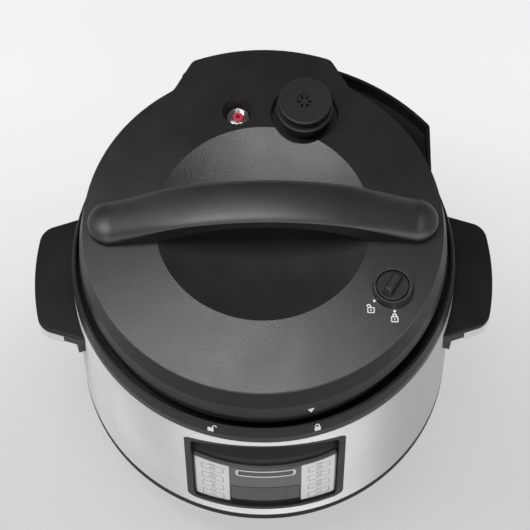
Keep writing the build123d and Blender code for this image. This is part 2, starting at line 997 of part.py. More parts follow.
window_prism = front_prism(window_half_w, window_z, window_z + window_h, plate_corner)
window_gap_prism = front_prism(
    window_half_w + seat_fit,
    window_z - seat_fit,
    window_z + window_h + seat_fit,
    plate_corner + seat_fit,
)
with BuildPart() as center_overlay:
    add(
        curved_plate(
            film_r,
            film_r + overlay_t,
            front_prism(center_half_w, film_low, film_high + plate_sag, plate_margin),
        )
    )
    add(film_outline, mode=Mode.INTERSECT)
    add(window_gap_prism, mode=Mode.SUBTRACT)
finish("center_overlay", center_overlay)

with BuildPart() as display_window:
    add(curved_plate(film_r, film_r + window_t, window_prism))
finish("display_window", display_window)

# Control board behind the panel, with the display module on it
module_front = sqrt((plate_seat_r - wall) ** 2 - module_half_w**2) - slip
with BuildPart() as control_board:
    with BuildSketch(Plane.XZ.offset(board_y - board_t)):
        with Locations((0, board_z)):
            Rectangle(2 * board_half_w, board_h)
    extrude(amount=board_t)
finish("control_board", control_board)

with BuildPart() as display_module:
    with BuildSketch(Plane.XZ.offset(board_y)):
        with Locations((0, window_z + window_h / 2)):
            Rectangle(2 * module_half_w, window_h - 2 * window_ledge)
    extrude(amount=module_front - board_y)
finish("display_module", display_module)

# Power board on the bottom cover's standoffs
board_top = base_z + power_board_lift + board_t
with BuildPart() as power_board:
    with BuildSketch(Plane.XY.offset(board_top - board_t)):
        with Locations((0, power_board_y)):
            Rectangle(power_board_w, power_board_d)
    extrude(amount=board_t)
    for size, place in (
        (relay_size, (-power_board_w / 3, power_board_y)),
        (coil_size, (0, power_board_y)),
    ):
        with BuildSketch(Plane.XY.offset(board_top)):
            with Locations(place):
                Rectangle(size[0], size[1])
        extrude(amount=size[2])
    with BuildSketch(Plane.XY.offset(board_top)):
        with Locations((power_board_w / 3, power_board_y)):
            with GridLocations(0, capacitor_pitch, 1, 2):
                Circle(capacitor_r)
    extrude(amount=capacitor_h)
finish("power_board", power_board)

# Power inlet at the back of the base, with its three blades
inlet_face = taper_r(inlet_z + inlet_half_h)
with BuildPart() as power_inlet:
    with BuildSketch(Plane.XZ.offset(-inlet_face)):
        with Locations((0, inlet_z)):
            RectangleRounded(2 * inlet_half_w, 2 * inlet_half_h, plate_corner)
    extrude(amount=inlet_depth)
    with BuildSketch(Plane.XZ.offset(-inlet_face)):
        with Locations((0, inlet_z)):
            RectangleRounded(2 * socket_half_w, 2 * socket_half_h, plate_corner)
    extrude(amount=socket_depth, mode=Mode.SUBTRACT)
finish("power_inlet", power_inlet)

with BuildPart() as inlet_pins:
    with BuildSketch(Plane.XZ.offset(socket_depth - inlet_face)):
        with Locations(
            (-blade_pitch, inlet_z - blade_h / 4),
            (0, inlet_z + blade_h / 2),
            (blade_pitch, inlet_z - blade_h / 4),
        ):
            Rectangle(blade_w, blade_h)
    extrude(amount=-blade_l)
finish("inlet_pins", inlet_pins)

# Reed switch under the drip channel, below the shuttle's locked place
with BuildPart() as reed_switch:
    with BuildSketch(Plane.XY.offset(channel_under_z - seat_fit)):
        with Locations((0, reed_ring_r)):
            Rectangle(reed_size[0], reed_size[1])
    extrude(amount=-reed_size[2])
finish("reed_switch", reed_switch)

# Interlock shuttle: rides on the pocket's rail and is carried along by the lid's peg
shuttle_z = channel_z + slip / 2
peg_ring_r = tab_r - tongue_t / 2
with BuildPart() as interlock_shuttle:
    extrude(
        sector(
            body_r - shuttle_in,
            body_r + shuttle_out,
            rear - shuttle_half_angle,
            2 * shuttle_half_angle,
            shuttle_z,
        ),
        amount=shuttle_h,
    )
    extrude(
        sector(
            rail_r - rail_w / 2 - run_fit,
            rail_r + rail_w / 2 + run_fit,
            rear - 2 * shuttle_half_angle,
            4 * shuttle_half_angle,
            channel_z,
        ),
        amount=rail_h + slip,
        mode=Mode.SUBTRACT,
    )
    with BuildSketch(Plane.XY.offset(shuttle_z)):
        with Locations((0, peg_ring_r)):
            Circle(peg_r + run_fit)
    extrude(amount=shuttle_h, mode=Mode.SUBTRACT)
    with BuildSketch(Plane.XY.offset(shuttle_z)):
        with PolarLocations(peg_ring_r, 1, start_angle=rear + shuttle_half_angle / 2):
            Circle(magnet_r + seat_fit)
    extrude(amount=magnet_h + seat_fit, mode=Mode.SUBTRACT)
finish("interlock_shuttle", interlock_shuttle)

with BuildPart() as shuttle_magnet:
    with BuildSketch(Plane.XY.offset(shuttle_z)):
        with PolarLocations(peg_ring_r, 1, start_angle=rear + shuttle_half_angle / 2):
            Circle(magnet_r)
    extrude(amount=magnet_h)
finish("shuttle_magnet", shuttle_magnet)

# Condensation cup hanging in the runners under the pocket
cup_y = body_r + cup_back_gap + slip
cup_d = pocket_r - cup_y
cup_top = runner_z + slip + cup_flange_t
with BuildPart() as condensation_cup:
    with BuildSketch(Plane.XY.offset(cup_top - cup_h)) as cup_plan:
        with Locations((0, cup_y + cup_d / 2)):
            Rectangle(2 * cup_half_w, cup_d)
        fillet(cup_plan.vertices().group_by(Axis.Y)[-1], cup_corner)
    extrude(amount=cup_h)
    fillet(condensation_cup.faces().sort_by(Axis.Z)[0].edges(), cup_rounding)
    offset(amount=-cup_wall, openings=condensation_cup.faces().sort_by(Axis.Z)[-1])
    with BuildSketch(Plane.XY.offset(cup_top - cup_flange_t)):
        with Locations((0, cup_y + (runner_l - slip) / 2)):
            Rectangle(2 * (cup_half_w + cup_flange_w), runner_l - slip)
            Rectangle(2 * (cup_half_w - cup_wall), runner_l, mode=Mode.SUBTRACT)
    extrude(amount=cup_flange_t)
finish("condensation_cup", condensation_cup)


def lid_profile(drop, edge, low):
    """Half section under the lid's outer surface: dish, soft ridge, outer slope and edge."""

    def rise(radius):
        return dish_r - sqrt(dish_r**2 - radius**2)

    with BuildSketch(Plane.XZ) as profile:
        with BuildLine():
            dish = ThreePointArc(
                (0, dish_z - drop),
                (ridge_r / 2, dish_z - drop + rise(ridge_r / 2)),
                (ridge_r, ridge_z - drop),
            )
            slope = Line(dish @ 1, (edge, cone_z(edge) - drop))
            Polyline(slope @ 1, (edge, low), (0, low), dish @ 0)
        make_face()
        ridge = [v for v in profile.vertices() if abs(v.X - ridge_r) < wall and v.Z > low + wall]
        fillet(ridge, ridge_rounding)
    return profile.sketch


def tab_plan(inset, height):
    """Plan of the lid's edge with its rear tab, with hollow roots, inset for walls."""
    with BuildSketch(Plane.XY.offset(height)) as plan:
        Circle(lid_edge_r)
        with BuildLine():
            end = CenterArc((0, 0), tab_r, rear - tab_half_angle, 2 * tab_half_angle)
            Polyline(
                end @ 0,
                on_circle(lid_edge_r, rear - tab_root_angle),
                (0, 0),
                on_circle(lid_edge_r, rear + tab_root_angle),
                end @ 1,
            )
        make_face()
        outer = [v for v in plan.vertices() if sqrt(v.X**2 + v.Y**2) > (lid_edge_r + tab_r) / 2]
        fillet(outer, tab_corner)
        offset(amount=tab_fillet)
        offset(amount=-tab_fillet - inset)
    return plan.sketch


# Levels of the valve wells, the latch and the solid under the lid's outer surface
well_floor_z = cone_z(sqrt(steam_x**2 + steam_y**2)) - well_depth
float_rim_z = cone_z(sqrt(float_x**2 + float_y**2))
float_floor_z = float_rim_z - float_depth
latch_z = cone_z(sqrt(latch_x**2 + latch_y**2))
latch_floor = latch_z + latch_ring_h - latch_bore_h
lid_low = dish_z - 2 * well_depth
with BuildPart() as lid_envelope:
    revolve(lid_profile(0, tab_r + wall, lid_low), axis=Axis.Z)
    with BuildSketch(Plane.XY.offset(lid_low)):
        add(tab_plan(0, lid_low))
    extrude(amount=ridge_z - lid_low, mode=Mode.INTERSECT)

with BuildPart() as lid_wells:
    for x, y, radius, floor_z in (
        (steam_x, steam_y, well_r + wall, well_floor_z - wall),
        (float_x, float_y, float_well_r + wall, float_floor_z - float_floor_t),
    ):
        with BuildSketch(Plane.XY.offset(floor_z)):
            with Locations((x, y)):
                Circle(radius)
        extrude(amount=ridge_z - floor_z)
    add(lid_envelope.part, mode=Mode.INTERSECT)

# Lid cover: dished top, valve wells, latch ring and the tab's roof
with BuildPart() as lid_cover:
    add(lid_envelope.part)
    revolve(lid_profile(wall, tab_r + 2 * wall, lid_low), axis=Axis.Z, mode=Mode.SUBTRACT)
    add(lid_wells.part)
    with Locations((latch_x, latch_y, latch_z - wall)):
        Cone(
            latch_base_r,
            latch_ring_r,
            latch_ring_h + wall,
            align=(Align.CENTER, Align.CENTER, Align.MIN),
        )
    with Locations((latch_x, latch_y, latch_z - spindle_boss_l)):
        Cylinder(
            spindle_boss_r, spindle_boss_l, align=(Align.CENTER, Align.CENTER, Align.MIN)
        )
    with BuildSketch(Plane.XY.offset(inner_dome_top)):
        with PolarLocations(boss_ring_r, boss_count, start_angle=180 / boss_count):
            Circle(boss_r)
    extrude(amount=dish_z + dish_r - sqrt(dish_r**2 - boss_ring_r**2) - wall / 2 - inner_dome_top)
    # Well openings
    with BuildSketch(Plane.XY.offset(well_floor_z)):
        with Locations((steam_x, steam_y)):
            Circle(well_r)
    extrude(amount=2 * well_depth, mode=Mode.SUBTRACT)
    with BuildSketch(Plane.XY.offset(well_floor_z - wall)):
        with Locations((steam_x, steam_y)):
            Circle(pipe_r + seat_fit)
    extrude(amount=wall, mode=Mode.SUBTRACT)
    with Locations((float_x, float_y, float_floor_z)):
        Cone(
            float_floor_r,
            float_well_r,
            float_depth,
            align=(Align.CENTER, Align.CENTER, Align.MIN),
            mode=Mode.SUBTRACT,
        )
    with BuildSketch(Plane.XY.offset(float_rim_z)):
        with Locations((float_x, float_y)):
            Circle(float_well_r)
    extrude(amount=float_depth, mode=Mode.SUBTRACT)
    with BuildSketch(Plane.XY.offset(float_floor_z - float_floor_t)):
        with Locations((float_x, float_y)):
            Circle(bush_r + seat_fit)
    extrude(amount=float_floor_t, mode=Mode.SUBTRACT)
    # Latch bore and spindle hole
    with BuildSketch(Plane.XY.offset(latch_floor)):
        with Locations((latch_x, latch_y)):
            Circle(latch_bore_r)
    extrude(amount=2 * latch_bore_h, mode=Mode.SUBTRACT)
    with BuildSketch(Plane.XY.offset(latch_z - spindle_boss_l)):
        with Locations((latch_x, latch_y)):
            Circle(spindle_r + run_fit)
    extrude(amount=spindle_boss_l + latch_ring_h, mode=Mode.SUBTRACT)
    # Screw holes for the handle
    with BuildSketch(Plane.XY.offset(lid_low)):
        with Locations((-handle_screw_x, 0), (handle_screw_x, 0)):
            Circle(handle_screw_r + seat_fit)
    extrude(amount=ridge_z - lid_low, mode=Mode.SUBTRACT)
finish("lid_cover", lid_cover)

# Lid skirt: shouldered ring, the tab's walls and the tongue that drives the shuttle
skirt_top = lid_edge_z - wall - slip
tongue_z = shuttle_z + shuttle_h + tongue_gap
with BuildPart() as lid_skirt:
    with BuildSketch(Plane.XY.offset(skirt_z)):
        add(tab_plan(skirt_groove, skirt_z))
        add(tab_plan(skirt_groove + wall, skirt_z), mode=Mode.SUBTRACT)
    extrude(amount=skirt_top - skirt_z)
    revolve(
        section(
            (0, skirt_z),
            (skirt_r - wall / 2, skirt_z),
            (shoulder_skirt_r - wall / 2, skirt_z + shoulder_rise),
            (lid_edge_r - rebate_w - wall / 2, skirt_top),
            (0, skirt_top),
        ),
        axis=Axis.Z,
        mode=Mode.SUBTRACT,
    )
    revolve(
        section(
            (lid_edge_r - 2 * wall, cone_z(lid_edge_r - 2 * wall) - wall - slip),
            (tab_r + wall, cone_z(tab_r + wall) - wall - slip),
            (tab_r + wall, lid_edge_z),
            (lid_edge_r - 2 * wall, lid_edge_z),
        ),
        axis=Axis.Z,
        mode=Mode.SUBTRACT,
    )
    revolve(
        section(
            (lid_edge_r - rebate_w, skirt_top),
            (lid_edge_r - rebate_w, skirt_top - rebate_h),
            (lid_edge_r - skirt_groove, skirt_top - rebate_h),
            (shoulder_skirt_r, skirt_z + shoulder_rise, skirt_rounding),
            (skirt_r, skirt_z, skirt_foot_rounding),
            (skirt_r - wall, skirt_z),
            (shoulder_skirt_r - wall, skirt_z + shoulder_rise),
            (lid_edge_r - rebate_w - wall, skirt_top - rebate_h),
            (lid_edge_r - rebate_w - wall, skirt_top),
        ),
        axis=Axis.Z,
    )
    extrude(
        sector(
            tab_r - skirt_groove - tongue_t,
            tab_r - skirt_groove,
            rear - tongue_half_angle,
            2 * tongue_half_angle,
            tongue_z,
        ),
        amount=skirt_z - tongue_z + 2 * wall,
    )
    with BuildSketch(Plane.XY.offset(tongue_z)):
        with Locations((0, peg_ring_r)):
            Circle(peg_r)
    extrude(amount=-peg_l)
finish("lid_skirt", lid_skirt)

# Handle: the parting line's rise and the crown's height at stations along its length
handle_under_z = lid_edge_z + handle_under_rise
handle_end_x = handle_half_l - handle_half_w
handle_end_z = lid_edge_z + handle_end_rise
handle_right = [(x, lid_edge_z + rise, handle_half_w, crown) for x, rise, crown in handle_stations]
handle_right.append(
    (handle_end_x, handle_end_z, handle_half_w - handle_waist, handle_end_crown - handle_waist)
)
handle_left = [(-x, z, half_w, crown) for x, z, half_w, crown in reversed(handle_right[1:])]
handle_line = handle_left + handle_right
with BuildSketch(Plane.XZ) as under_parting:
    with BuildLine():
        parting = Spline(*[(x, z) for x, z, half_w, crown in handle_line])
        Polyline(
            parting @ 0,
            (-handle_half_l - wall, handle_end_z),
            (-handle_half_l - wall, lid_low),
            (handle_half_l + wall, lid_low),
            (handle_half_l + wall, handle_end_z),
            parting @ 1,
        )
    make_face()

# Upper shell of the handle: a loft cut off at the parting line, with a half dome at each end
with BuildPart() as handle_top:
    rings = []
    for x, z, half_w, crown in handle_line:
        with BuildSketch(Plane((x, 0, z), x_dir=(0, 1, 0), z_dir=(1, 0, 0))) as ring:
            with BuildLine():
                arc = EllipticalCenterArc(
                    (0, 0), half_w, crown, -crown_wrap, arc_size=180 + 2 * crown_wrap
                )
                Line(arc @ 1, arc @ 0)
            make_face()
        rings.append(ring.sketch.face())
    loft(rings)
    extrude(under_parting.sketch, amount=handle_half_w + wall, both=True, mode=Mode.SUBTRACT)
    with BuildSketch(Plane.XZ) as dome_half:
        with BuildLine():
            arc = EllipticalCenterArc((0, 0), handle_half_w, handle_end_crown, 0, arc_size=90)
            Polyline(arc @ 1, (0, 0), arc @ 0)
        make_face()
    with BuildPart(mode=Mode.PRIVATE) as dome:
        revolve(dome_half.sketch, axis=Axis.Z, revolution_arc=180)
    with Locations(
        Location((-handle_end_x, 0, handle_end_z), (0, 0, 90)),
        Location((handle_end_x, 0, handle_end_z), (0, 0, -90)),
    ):
        add(dome.part)
finish("handle_top", handle_top)

# Lower shell: arch underside and two feet that follow the lid's slope
with BuildPart() as handle_base:
    with BuildSketch(Plane.XY.offset(lid_low)):
        SlotOverall(2 * (handle_half_l - handle_lip), 2 * (handle_half_w - handle_lip))
    extrude(amount=handle_under_z + wall)
    extrude(under_parting.sketch, amount=handle_half_w + wall, both=True, mode=Mode.INTERSECT)
    with BuildSketch(Plane.XZ):
        with BuildLine():
            under = ThreePointArc(
                (-handle_foot_x, ridge_z), (0, handle_under_z), (handle_foot_x, ridge_z)
            )
            Polyline(under @ 0, (-handle_foot_x, lid_low), (handle_foot_x, lid_low), under @ 1)
        make_face()
    extrude(amount=handle_half_w + wall, both=True, mode=Mode.SUBTRACT)
    add(lid_envelope.part, mode=Mode.SUBTRACT)
    with BuildSketch(Plane.XY.offset(lid_low)):
        with Locations((-handle_screw_x, 0), (handle_screw_x, 0)):
            Circle(handle_screw_r + seat_fit)
    extrude(amount=cone_z(handle_screw_x) + handle_screw_l - lid_low, mode=Mode.SUBTRACT)
finish("handle_base", handle_base)

# Screws from under the cover into the handle's feet
handle_screw_seat = cone_z(handle_screw_x + handle_screw_head_r) - wall
with BuildPart() as lid_handle_screws:
    with BuildSketch(Plane.XY.offset(handle_screw_seat - screw_head_h)):
        with Locations((-handle_screw_x, 0), (handle_screw_x, 0)):
            Circle(handle_screw_head_r)
    extrude(amount=screw_head_h)
    with BuildSketch(Plane.XY.offset(handle_screw_seat)):
        with Locations((-handle_screw_x, 0), (handle_screw_x, 0)):
            Circle(handle_screw_r)
    extrude(amount=handle_screw_l)
finish("lid_handle_screws", lid_handle_screws)

# Inner lid: pressed plate with a skirt and inward lugs that hook under the liner's lugs
inner_dome_z = inner_lid_z + inner_dome_rise
lock_bottom = lid_lug_z - lock_skirt_drop
with BuildPart() as inner_lid:
    revolve(
        section(
            (0, inner_dome_z),
            (inner_dome_r, inner_dome_z),
            (inner_dome_r + inner_dome_slope, inner_lid_z),
            (lock_in_r, inner_lid_z),
            (lock_in_r, lock_bottom),
            (lock_r, lock_bottom),
            (lock_r, inner_lid_top, lock_wall),
            (inner_dome_r + inner_dome_slope + inner_lid_t / 2, inner_lid_top),
            (inner_dome_r + inner_lid_t / 2, inner_dome_top),
            (0, inner_dome_top),
        ),
        axis=Axis.Z,
    )
    for lug in range(lug_count):
        extrude(
            sector(
                lid_lug_r,
                lock_in_r + lock_wall / 2,
                lug * 360 / lug_count - lug_span / 2,
                lug_span,
                lid_lug_z - lid_lug_t,
            ),
            amount=lid_lug_t,
        )
    with BuildSketch(Plane.XY.offset(inner_lid_z)):
        with Locations((steam_x, steam_y)):
            Circle(pipe_r + seat_fit)
        with Locations((float_x, float_y)):
            Circle(float_r + slip)
        with PolarLocations(boss_ring_r, boss_count, start_angle=180 / boss_count):
            Circle(screw_r + seat_fit)
    extrude(amount=inner_dome_rise + inner_lid_t, mode=Mode.SUBTRACT)
finish("inner_lid", inner_lid)

with BuildPart() as inner_lid_screws:
    with BuildSketch(Plane.XY.offset(inner_dome_z - screw_head_h)):
        with PolarLocations(boss_ring_r, boss_count, start_angle=180 / boss_count):
            Circle(screw_head_r)
    extrude(amount=screw_head_h)
    with BuildSketch(Plane.XY.offset(inner_dome_z)):
        with PolarLocations(boss_ring_r, boss_count, start_angle=180 / boss_count):
            Circle(screw_r)
    extrude(amount=inner_lid_t)
finish("inner_lid_screws", inner_lid_screws)

# Sealing ring of C section on the pot's rim, and the wire ring inside it
seal_z = pot_rim_z + slip
with BuildPart() as sealing_ring:
    revolve(
        section(
            (seal_lip_r, seal_z),
            (seal_out_r, seal_z),
            (seal_out_r, inner_lid_z),
            (seal_lip_r, inner_lid_z),
            (seal_lip_r, inner_lid_z - seal_lip_t),
            (seal_web_r, inner_lid_z - seal_lip_t),
            (seal_web_r, seal_z + seal_lip_t),
            (seal_lip_r, seal_z + seal_lip_t),
        ),
        axis=Axis.Z,
    )
finish("sealing_ring", sealing_ring)

with BuildPart() as ring_rack:
    with BuildSketch(Plane.XZ):
        with Locations((rack_ring_r, (seal_z + inner_lid_z) / 2)):
            Circle(rack_r)
    revolve(axis=Axis.Z)
finish("ring_rack", ring_rack)

# Exhaust pipe through the well's floor and the inner lid, with its shield below
pipe_top = well_floor_z + pipe_rise
shield_top = inner_lid_z - seat_fit
with BuildPart() as exhaust_pipe:
    with BuildSketch(Plane.XY.offset(inner_lid_z - pipe_drop)):
        with Locations((steam_x, steam_y)):
            Circle(pipe_r)
            Circle(pipe_bore_r, mode=Mode.SUBTRACT)
    extrude(amount=pipe_top - inner_lid_z + pipe_drop)
finish("exhaust_pipe", exhaust_pipe)

with BuildPart() as vent_shield:
    with BuildSketch(Plane.XY.offset(shield_top - shield_h)):
        with Locations((steam_x, steam_y)):
            Circle(shield_r)
    extrude(amount=shield_h)
    with BuildSketch(Plane.XY.offset(shield_top - shield_h + shield_t)):
        with Locations((steam_x, steam_y)):
            Circle(shield_r - shield_t)
    extrude(amount=shield_h - 2 * shield_t, mode=Mode.SUBTRACT)
    with BuildSketch(Plane.XY.offset(shield_top - shield_t)):
        with Locations((steam_x, steam_y)):
            Circle(pipe_r + seat_fit)
    extrude(amount=shield_t, mode=Mode.SUBTRACT)
    with BuildSketch(Plane.XY.offset(shield_top - shield_h)):
        with Locations((steam_x, steam_y)):
            with PolarLocations(shield_hole_ring_r, shield_hole_count):
                Circle(shield_hole_r)
    extrude(amount=shield_t, mode=Mode.SUBTRACT)
finish("vent_shield", vent_shield)

# Valve guide: flanged tube on the well's floor
steam_plane = Plane((steam_x, steam_y, well_floor_z), x_dir=(1, 0, 0), z_dir=(0, 0, 1))


def turned_at(plane, *corners):
    """A turned solid of a radius-and-height outline about a plane's normal."""
    with BuildPart() as body:
        revolve(section(*corners), axis=Axis.Z)
    return plane * body.part


with BuildPart() as valve_guide:
    add(
        turned_at(
            steam_plane,
            (pipe_r + seat_fit, 0),
            (guide_flange_r, 0),
            (guide_flange_r, guide_flange_t),
            (guide_r, guide_flange_t),
            (guide_r, guide_h),
            (guide_r - guide_t, guide_h),
            (guide_r - guide_t, guide_flange_t),
            (pipe_r + seat_fit, guide_flange_t),
        )
    )
finish("valve_guide", valve_guide)

# Weight that closes the exhaust pipe
weight_r = guide_r - guide_t - run_fit
with BuildPart() as valve_weight:
    add(
        turned_at(
            steam_plane,
            (0, pipe_rise + slip),
            (weight_r, pipe_rise + slip),
            (weight_r, pipe_rise + weight_h, cap_rounding),
            (0, pipe_rise + weight_h),
        )
    )
finish("valve_weight", valve_weight)

# Steam-release cap with a grip disc, a neck, a flange and a ring of vent slots
cap_ceiling_z = pipe_rise + weight_h + weight_lift + cap_play
with BuildPart() as steam_cap:
    add(
        turned_at(
            steam_plane,
            (guide_r + run_fit, cap_bottom),
            (cap_skirt_r, cap_bottom, cap_rounding),
            (cap_skirt_r, cap_flange_z),
            (cap_flange_r, cap_flange_z, cap_rounding),
            (cap_flange_r, cap_flange_z + cap_flange_t, cap_rounding),
            (cap_neck_r, cap_flange_z + cap_flange_t),
            (cap_neck_r, cap_top_z - cap_disc_t),
            (cap_r, cap_top_z - cap_disc_t, cap_rounding),
            (cap_r, cap_top_z, cap_rounding),
            (cap_dimple_r, cap_top_z),
            (cap_dimple_r, cap_top_z - cap_dimple_depth),
            (0, cap_top_z - cap_dimple_depth),
            (0, cap_ceiling_z),
            (guide_r + run_fit, cap_ceiling_z),
        )
    )
    with BuildSketch(steam_plane.offset(cap_ceiling_z)):
        with PolarLocations(cap_slot_ring_r, cap_slot_count):
            SlotOverall(cap_slot_l, cap_slot_w)
    extrude(amount=cap_top_z - cap_ceiling_z, mode=Mode.SUBTRACT)
finish("steam_cap", steam_cap)

# Float valve: bush in the well, sliding pin and the seal under the inner lid
float_plane = Plane((float_x, float_y, float_floor_z), x_dir=(1, 0, 0), z_dir=(0, 0, 1))
stop_z = inner_lid_top + slip - float_floor_z
seal_top = inner_lid_z - float_lift - slip - float_floor_z
with BuildPart() as float_bush:
    add(
        turned_at(
            float_plane,
            (float_r + run_fit, -bush_l),
            (bush_r, -bush_l),
            (bush_r, 0),
            (bush_flange_r, 0),
            (bush_flange_r, bush_flange_t),
            (bush_rim_r, bush_flange_t),
            (bush_rim_r, bush_rim_h, bush_rim_t / 4),
            (bush_rim_r - bush_rim_t, bush_rim_h, bush_rim_t / 4),
            (bush_rim_r - bush_rim_t, bush_flange_t),
            (float_r + run_fit, bush_flange_t),
        )
    )
finish("float_bush", float_bush)

with BuildPart() as float_pin:
    add(
        turned_at(
            float_plane,
            (0, seal_top - float_seal_t - float_head_t),
            (float_head_r, seal_top - float_seal_t - float_head_t),
            (float_head_r, seal_top - float_seal_t),
            (float_r, seal_top - float_seal_t),
            (float_r, stop_z),
            (shoulder_r, stop_z),
            (shoulder_r, stop_z + shoulder_t),
            (float_r, stop_z + shoulder_t),
            (float_r, float_top, groove_w),
            (float_bore_r, float_top),
            (float_bore_r, float_top - float_bore_depth),
            (0, float_top - float_bore_depth),
        )
    )
finish("float_pin", float_pin)

with BuildPart() as float_seal:
    add(
        turned_at(
            float_plane,
            (float_r + seat_fit, seal_top - float_seal_t),
            (float_seal_r, seal_top - float_seal_t),
            (float_seal_r, seal_top),
            (float_r + seat_fit, seal_top),
        )
    )
finish("float_seal", float_seal)

# Latch knob with a grooved grip bar, its spindle and its tongue
latch_plane = Plane(
    (latch_x, latch_y, latch_floor + slip), x_dir=on_circle(1, front - latch_turn), z_dir=(0, 0, 1)
)
with BuildPart() as latch_knob:
    with BuildSketch(latch_plane):
        Circle(knob_r)
    extrude(amount=knob_t)
    fillet(latch_knob.edges().group_by(Axis.Z)[-1], groove_w)
    with BuildSketch(latch_plane.offset(knob_t)):
        Circle(knob_r)
        Rectangle(2 * knob_r, grip_bar_w, mode=Mode.INTERSECT)
    extrude(amount=grip_bar_h)
    fillet(latch_knob.faces().sort_by(Axis.Z)[-1].edges(), grip_bar_rounding)
    with BuildSketch(latch_plane.offset(knob_t + grip_bar_h - groove_depth)):
        with GridLocations(0, groove_pitch, 1, groove_count - 1):
            Rectangle(2 * knob_r, groove_w)
    extrude(amount=groove_depth, mode=Mode.SUBTRACT)
finish("latch_knob", latch_knob)

with BuildPart() as latch_spindle:
    with BuildSketch(latch_plane):
        Circle(spindle_r)
    extrude(amount=-spindle_l)
finish("latch_spindle", latch_spindle)

with BuildPart() as latch_tongue:
    with BuildSketch(latch_plane.offset(-spindle_l)):
        with Locations((tongue_l / 2, 0)):
            SlotOverall(tongue_l + tongue_w, tongue_w)
        Circle(spindle_r + seat_fit, mode=Mode.SUBTRACT)
    extrude(amount=tongue_plate_t)
finish("latch_tongue", latch_tongue)
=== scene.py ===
from math import cos, pi, radians, sin

import bmesh
import bpy
from mathutils import Matrix, Vector


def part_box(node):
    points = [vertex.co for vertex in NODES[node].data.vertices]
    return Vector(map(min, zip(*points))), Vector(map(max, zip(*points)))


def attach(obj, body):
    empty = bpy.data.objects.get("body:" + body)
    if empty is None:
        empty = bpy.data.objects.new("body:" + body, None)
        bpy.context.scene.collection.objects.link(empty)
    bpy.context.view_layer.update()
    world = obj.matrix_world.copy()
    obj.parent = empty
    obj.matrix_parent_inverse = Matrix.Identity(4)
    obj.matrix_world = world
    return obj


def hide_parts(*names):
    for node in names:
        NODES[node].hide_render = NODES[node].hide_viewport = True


bl_info = {
    "name": "Electric pressure cooker",
    "version": (1, 0, 0),
    "blender": (4, 5, 0),
    "location": "3D View > Sidebar > Cooker",
    "description": "Finishes, handle, knob, printed marks and studio for the pressure cooker",
    "category": "Object",
}

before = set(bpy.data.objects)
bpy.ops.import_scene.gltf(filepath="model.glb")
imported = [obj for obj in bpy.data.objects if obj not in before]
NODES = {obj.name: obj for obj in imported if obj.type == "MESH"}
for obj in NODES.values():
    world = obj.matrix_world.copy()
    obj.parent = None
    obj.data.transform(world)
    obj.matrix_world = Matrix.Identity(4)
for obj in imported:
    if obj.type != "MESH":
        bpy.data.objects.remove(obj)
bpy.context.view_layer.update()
MM = 0.001

# The view's middle, and the camera's focal length and the image's width in pixels
VIEW_MIDDLE = (0.0012, 0.0, 0.203)
FOCAL_PIXELS, FRAME_PIXELS = 2800, 530


class CookerFinishes(bpy.types.PropertyGroup):
    """Colours and grain of the cooker's own surfaces."""

    lid_black: bpy.props.FloatVectorProperty(
        name="Lid black", description="Fine-textured plastic of the lid's top and handle",
        subtype="COLOR", size=3, default=(0.0065, 0.0065, 0.0068))
    satin_black: bpy.props.FloatVectorProperty(
        name="Satin black", description="Moulded plastic of collar, skirt and grips",
        subtype="COLOR", size=3, default=(0.007, 0.007, 0.0075))
    panel_black: bpy.props.FloatVectorProperty(
        name="Panel black", description="Textured plastic round the control panel",
        subtype="COLOR", size=3, default=(0.007, 0.007, 0.0073))
    # Painted highlight: the plate is coloured a lighter grey than the black bezel round it, for the
    # light that its top edge catches
    ledge_highlight_grey: bpy.props.FloatVectorProperty(
        name="Ledge highlight grey", description="Plate that carries the key films",
        subtype="COLOR", size=3, default=(0.2, 0.2, 0.21))
    steel: bpy.props.FloatVectorProperty(
        name="Brushed steel", description="Sheet steel of the body sleeve",
        subtype="COLOR", size=3, default=(0.8, 0.8, 0.795))
    key_white: bpy.props.FloatVectorProperty(
        name="Key white", description="Film over the two strips of keys",
        subtype="COLOR", size=3, default=(0.9, 0.9, 0.89))
    center_grey: bpy.props.FloatVectorProperty(
        name="Centre grey", description="Film between the strips, above the display",
        subtype="COLOR", size=3, default=(0.085, 0.085, 0.09))
    float_red: bpy.props.FloatVectorProperty(
        name="Float red", description="Float pin",
        subtype="COLOR", size=3, default=(0.66, 0.06, 0.1))
    lid_grain: bpy.props.FloatProperty(
        name="Lid grain", description="Size of the lid's moulded texture",
        unit="LENGTH", default=0.0011, min=0.0001, max=0.005)
    glass_top: bpy.props.FloatProperty(
        name="Glass top", description="Height at which the centre film turns to dark glass",
        unit="LENGTH", default=0.1045, min=0.08, max=0.14)


